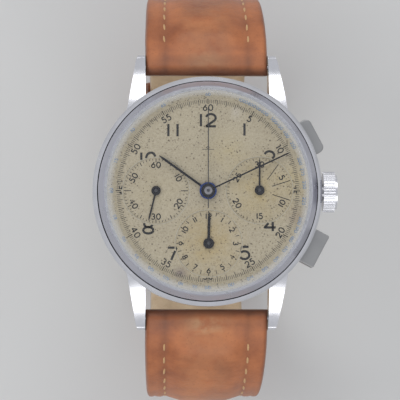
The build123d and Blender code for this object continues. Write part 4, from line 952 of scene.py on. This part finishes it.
def build_keeper(name, node, body, turn_degrees):
    """Leather loop with rounded corners and a burnished edge."""
    way = math.radians(-90 + turn_degrees)
    centre = Vector((HALF_EXTENT - TURN_RADIUS, SHOULDER.y))
    out = Vector((math.cos(way), math.sin(way)))
    place = centre + out * TURN_RADIUS
    wall = KEEPER_WALL
    half = strap_half_width(place.y) + KEEPER_SIDE_GAP + wall / 2
    bottom = -HALF_THICKNESS - KEEPER_LOWER_GAP - wall / 2
    top = HALF_THICKNESS + KEEPER_SPARE + wall / 2
    corner = KEEPER_CORNER
    path = []
    for cx, cz, start in ((half - corner, top - corner, 0), (-half + corner, top - corner, 90),
                          (-half + corner, bottom + corner, 180), (half - corner, bottom + corner, 270)):
        for step in range(7):
            angle = math.radians(start + 15 * step)
            path.append((Vector((cx + corner * math.cos(angle), cz + corner * math.sin(angle))),
                         Vector((math.cos(angle), math.sin(angle)))))
    bm = bmesh.new()
    wear_layer = bm.verts.layers.float.new("wear")
    shade_layer = bm.verts.layers.float.new("shade")
    rows = []
    for middle, normal in path:
        row = []
        for step in range(KEEPER_STEPS):
            angle = 2 * math.pi * step / KEEPER_STEPS
            along = math.copysign(abs(math.cos(angle)) ** 0.35, math.cos(angle)) * KEEPER_LENGTH / 2
            thick = math.copysign(abs(math.sin(angle)) ** 0.5, math.sin(angle)) * wall / 2
            point = middle + normal * thick
            tangent = Vector((out.y, -out.x))
            spot = place + out * point.y + tangent * along
            vert = bm.verts.new((point.x, spot.x, spot.y))
            vert[wear_layer] = 0.25
            vert[shade_layer] = 0.7 * abs(math.cos(angle)) ** 3
            row.append(vert)
        rows.append(row)
    for first, second in zip(rows, rows[1:] + rows[:1]):
        for step in range(KEEPER_STEPS):
            following = (step + 1) % KEEPER_STEPS
            bm.faces.new((first[step], second[step], second[following], first[following]))
    bmesh.ops.recalc_face_normals(bm, faces=bm.faces)
    keeper = new_piece(name, bm, LEATHER, body)
    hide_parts(node)


build_keeper("keeper_fixed", "fixed_keeper", "strap_12", 14)
build_keeper("keeper_free", "free_keeper", "free_keeper", 28)


# ---------------------------------------------------------------- floor and lights
LOWEST = cad_bounds[0][2]
FLOOR_GAP = 0.0004
bm = bmesh.new()
bmesh.ops.create_grid(bm, x_segments=1, y_segments=1, size=1.5)
floor_mesh = bpy.data.meshes.new("floor")
bm.to_mesh(floor_mesh)
bm.free()
floor = bpy.data.objects.new("floor", floor_mesh)
floor.location = (0, 0, LOWEST - FLOOR_GAP)
bpy.context.scene.collection.objects.link(floor)
floor_shader = Shader("floor", Roughness=0.8)
floor_shader.color(floor_shader.mix(floor_shader.noise(60), (0.60, 0.60, 0.59, 1), (0.64, 0.64, 0.63, 1)))
floor.data.materials.append(floor_shader.material)

world = bpy.data.worlds.new("studio")
world.use_nodes = True
world.node_tree.nodes["Background"].inputs["Color"].default_value = (0.93, 0.95, 1.0, 1)
world.node_tree.nodes["Background"].inputs["Strength"].default_value = 0.62
bpy.context.scene.world = world


def soft_light(name, place, size, power, target=(0, 0, 0)):
    data = bpy.data.lights.new(name, "AREA")
    data.size = size
    data.energy = power
    lamp = bpy.data.objects.new(name, data)
    lamp.location = place
    aim = Vector(target) - Vector(place)
    lamp.rotation_euler = aim.to_track_quat("-Z", "Y").to_euler()
    bpy.context.scene.collection.objects.link(lamp)


soft_light("north", (0.0, 0.62, 0.60), 0.50, 1.5)
soft_light("south", (0.0, -0.62, 0.60), 0.50, 1.5)
soft_light("key", (-0.50, 0.10, 0.50), 0.35, 1.0)
bpy.context.scene.view_settings.view_transform = "Standard"
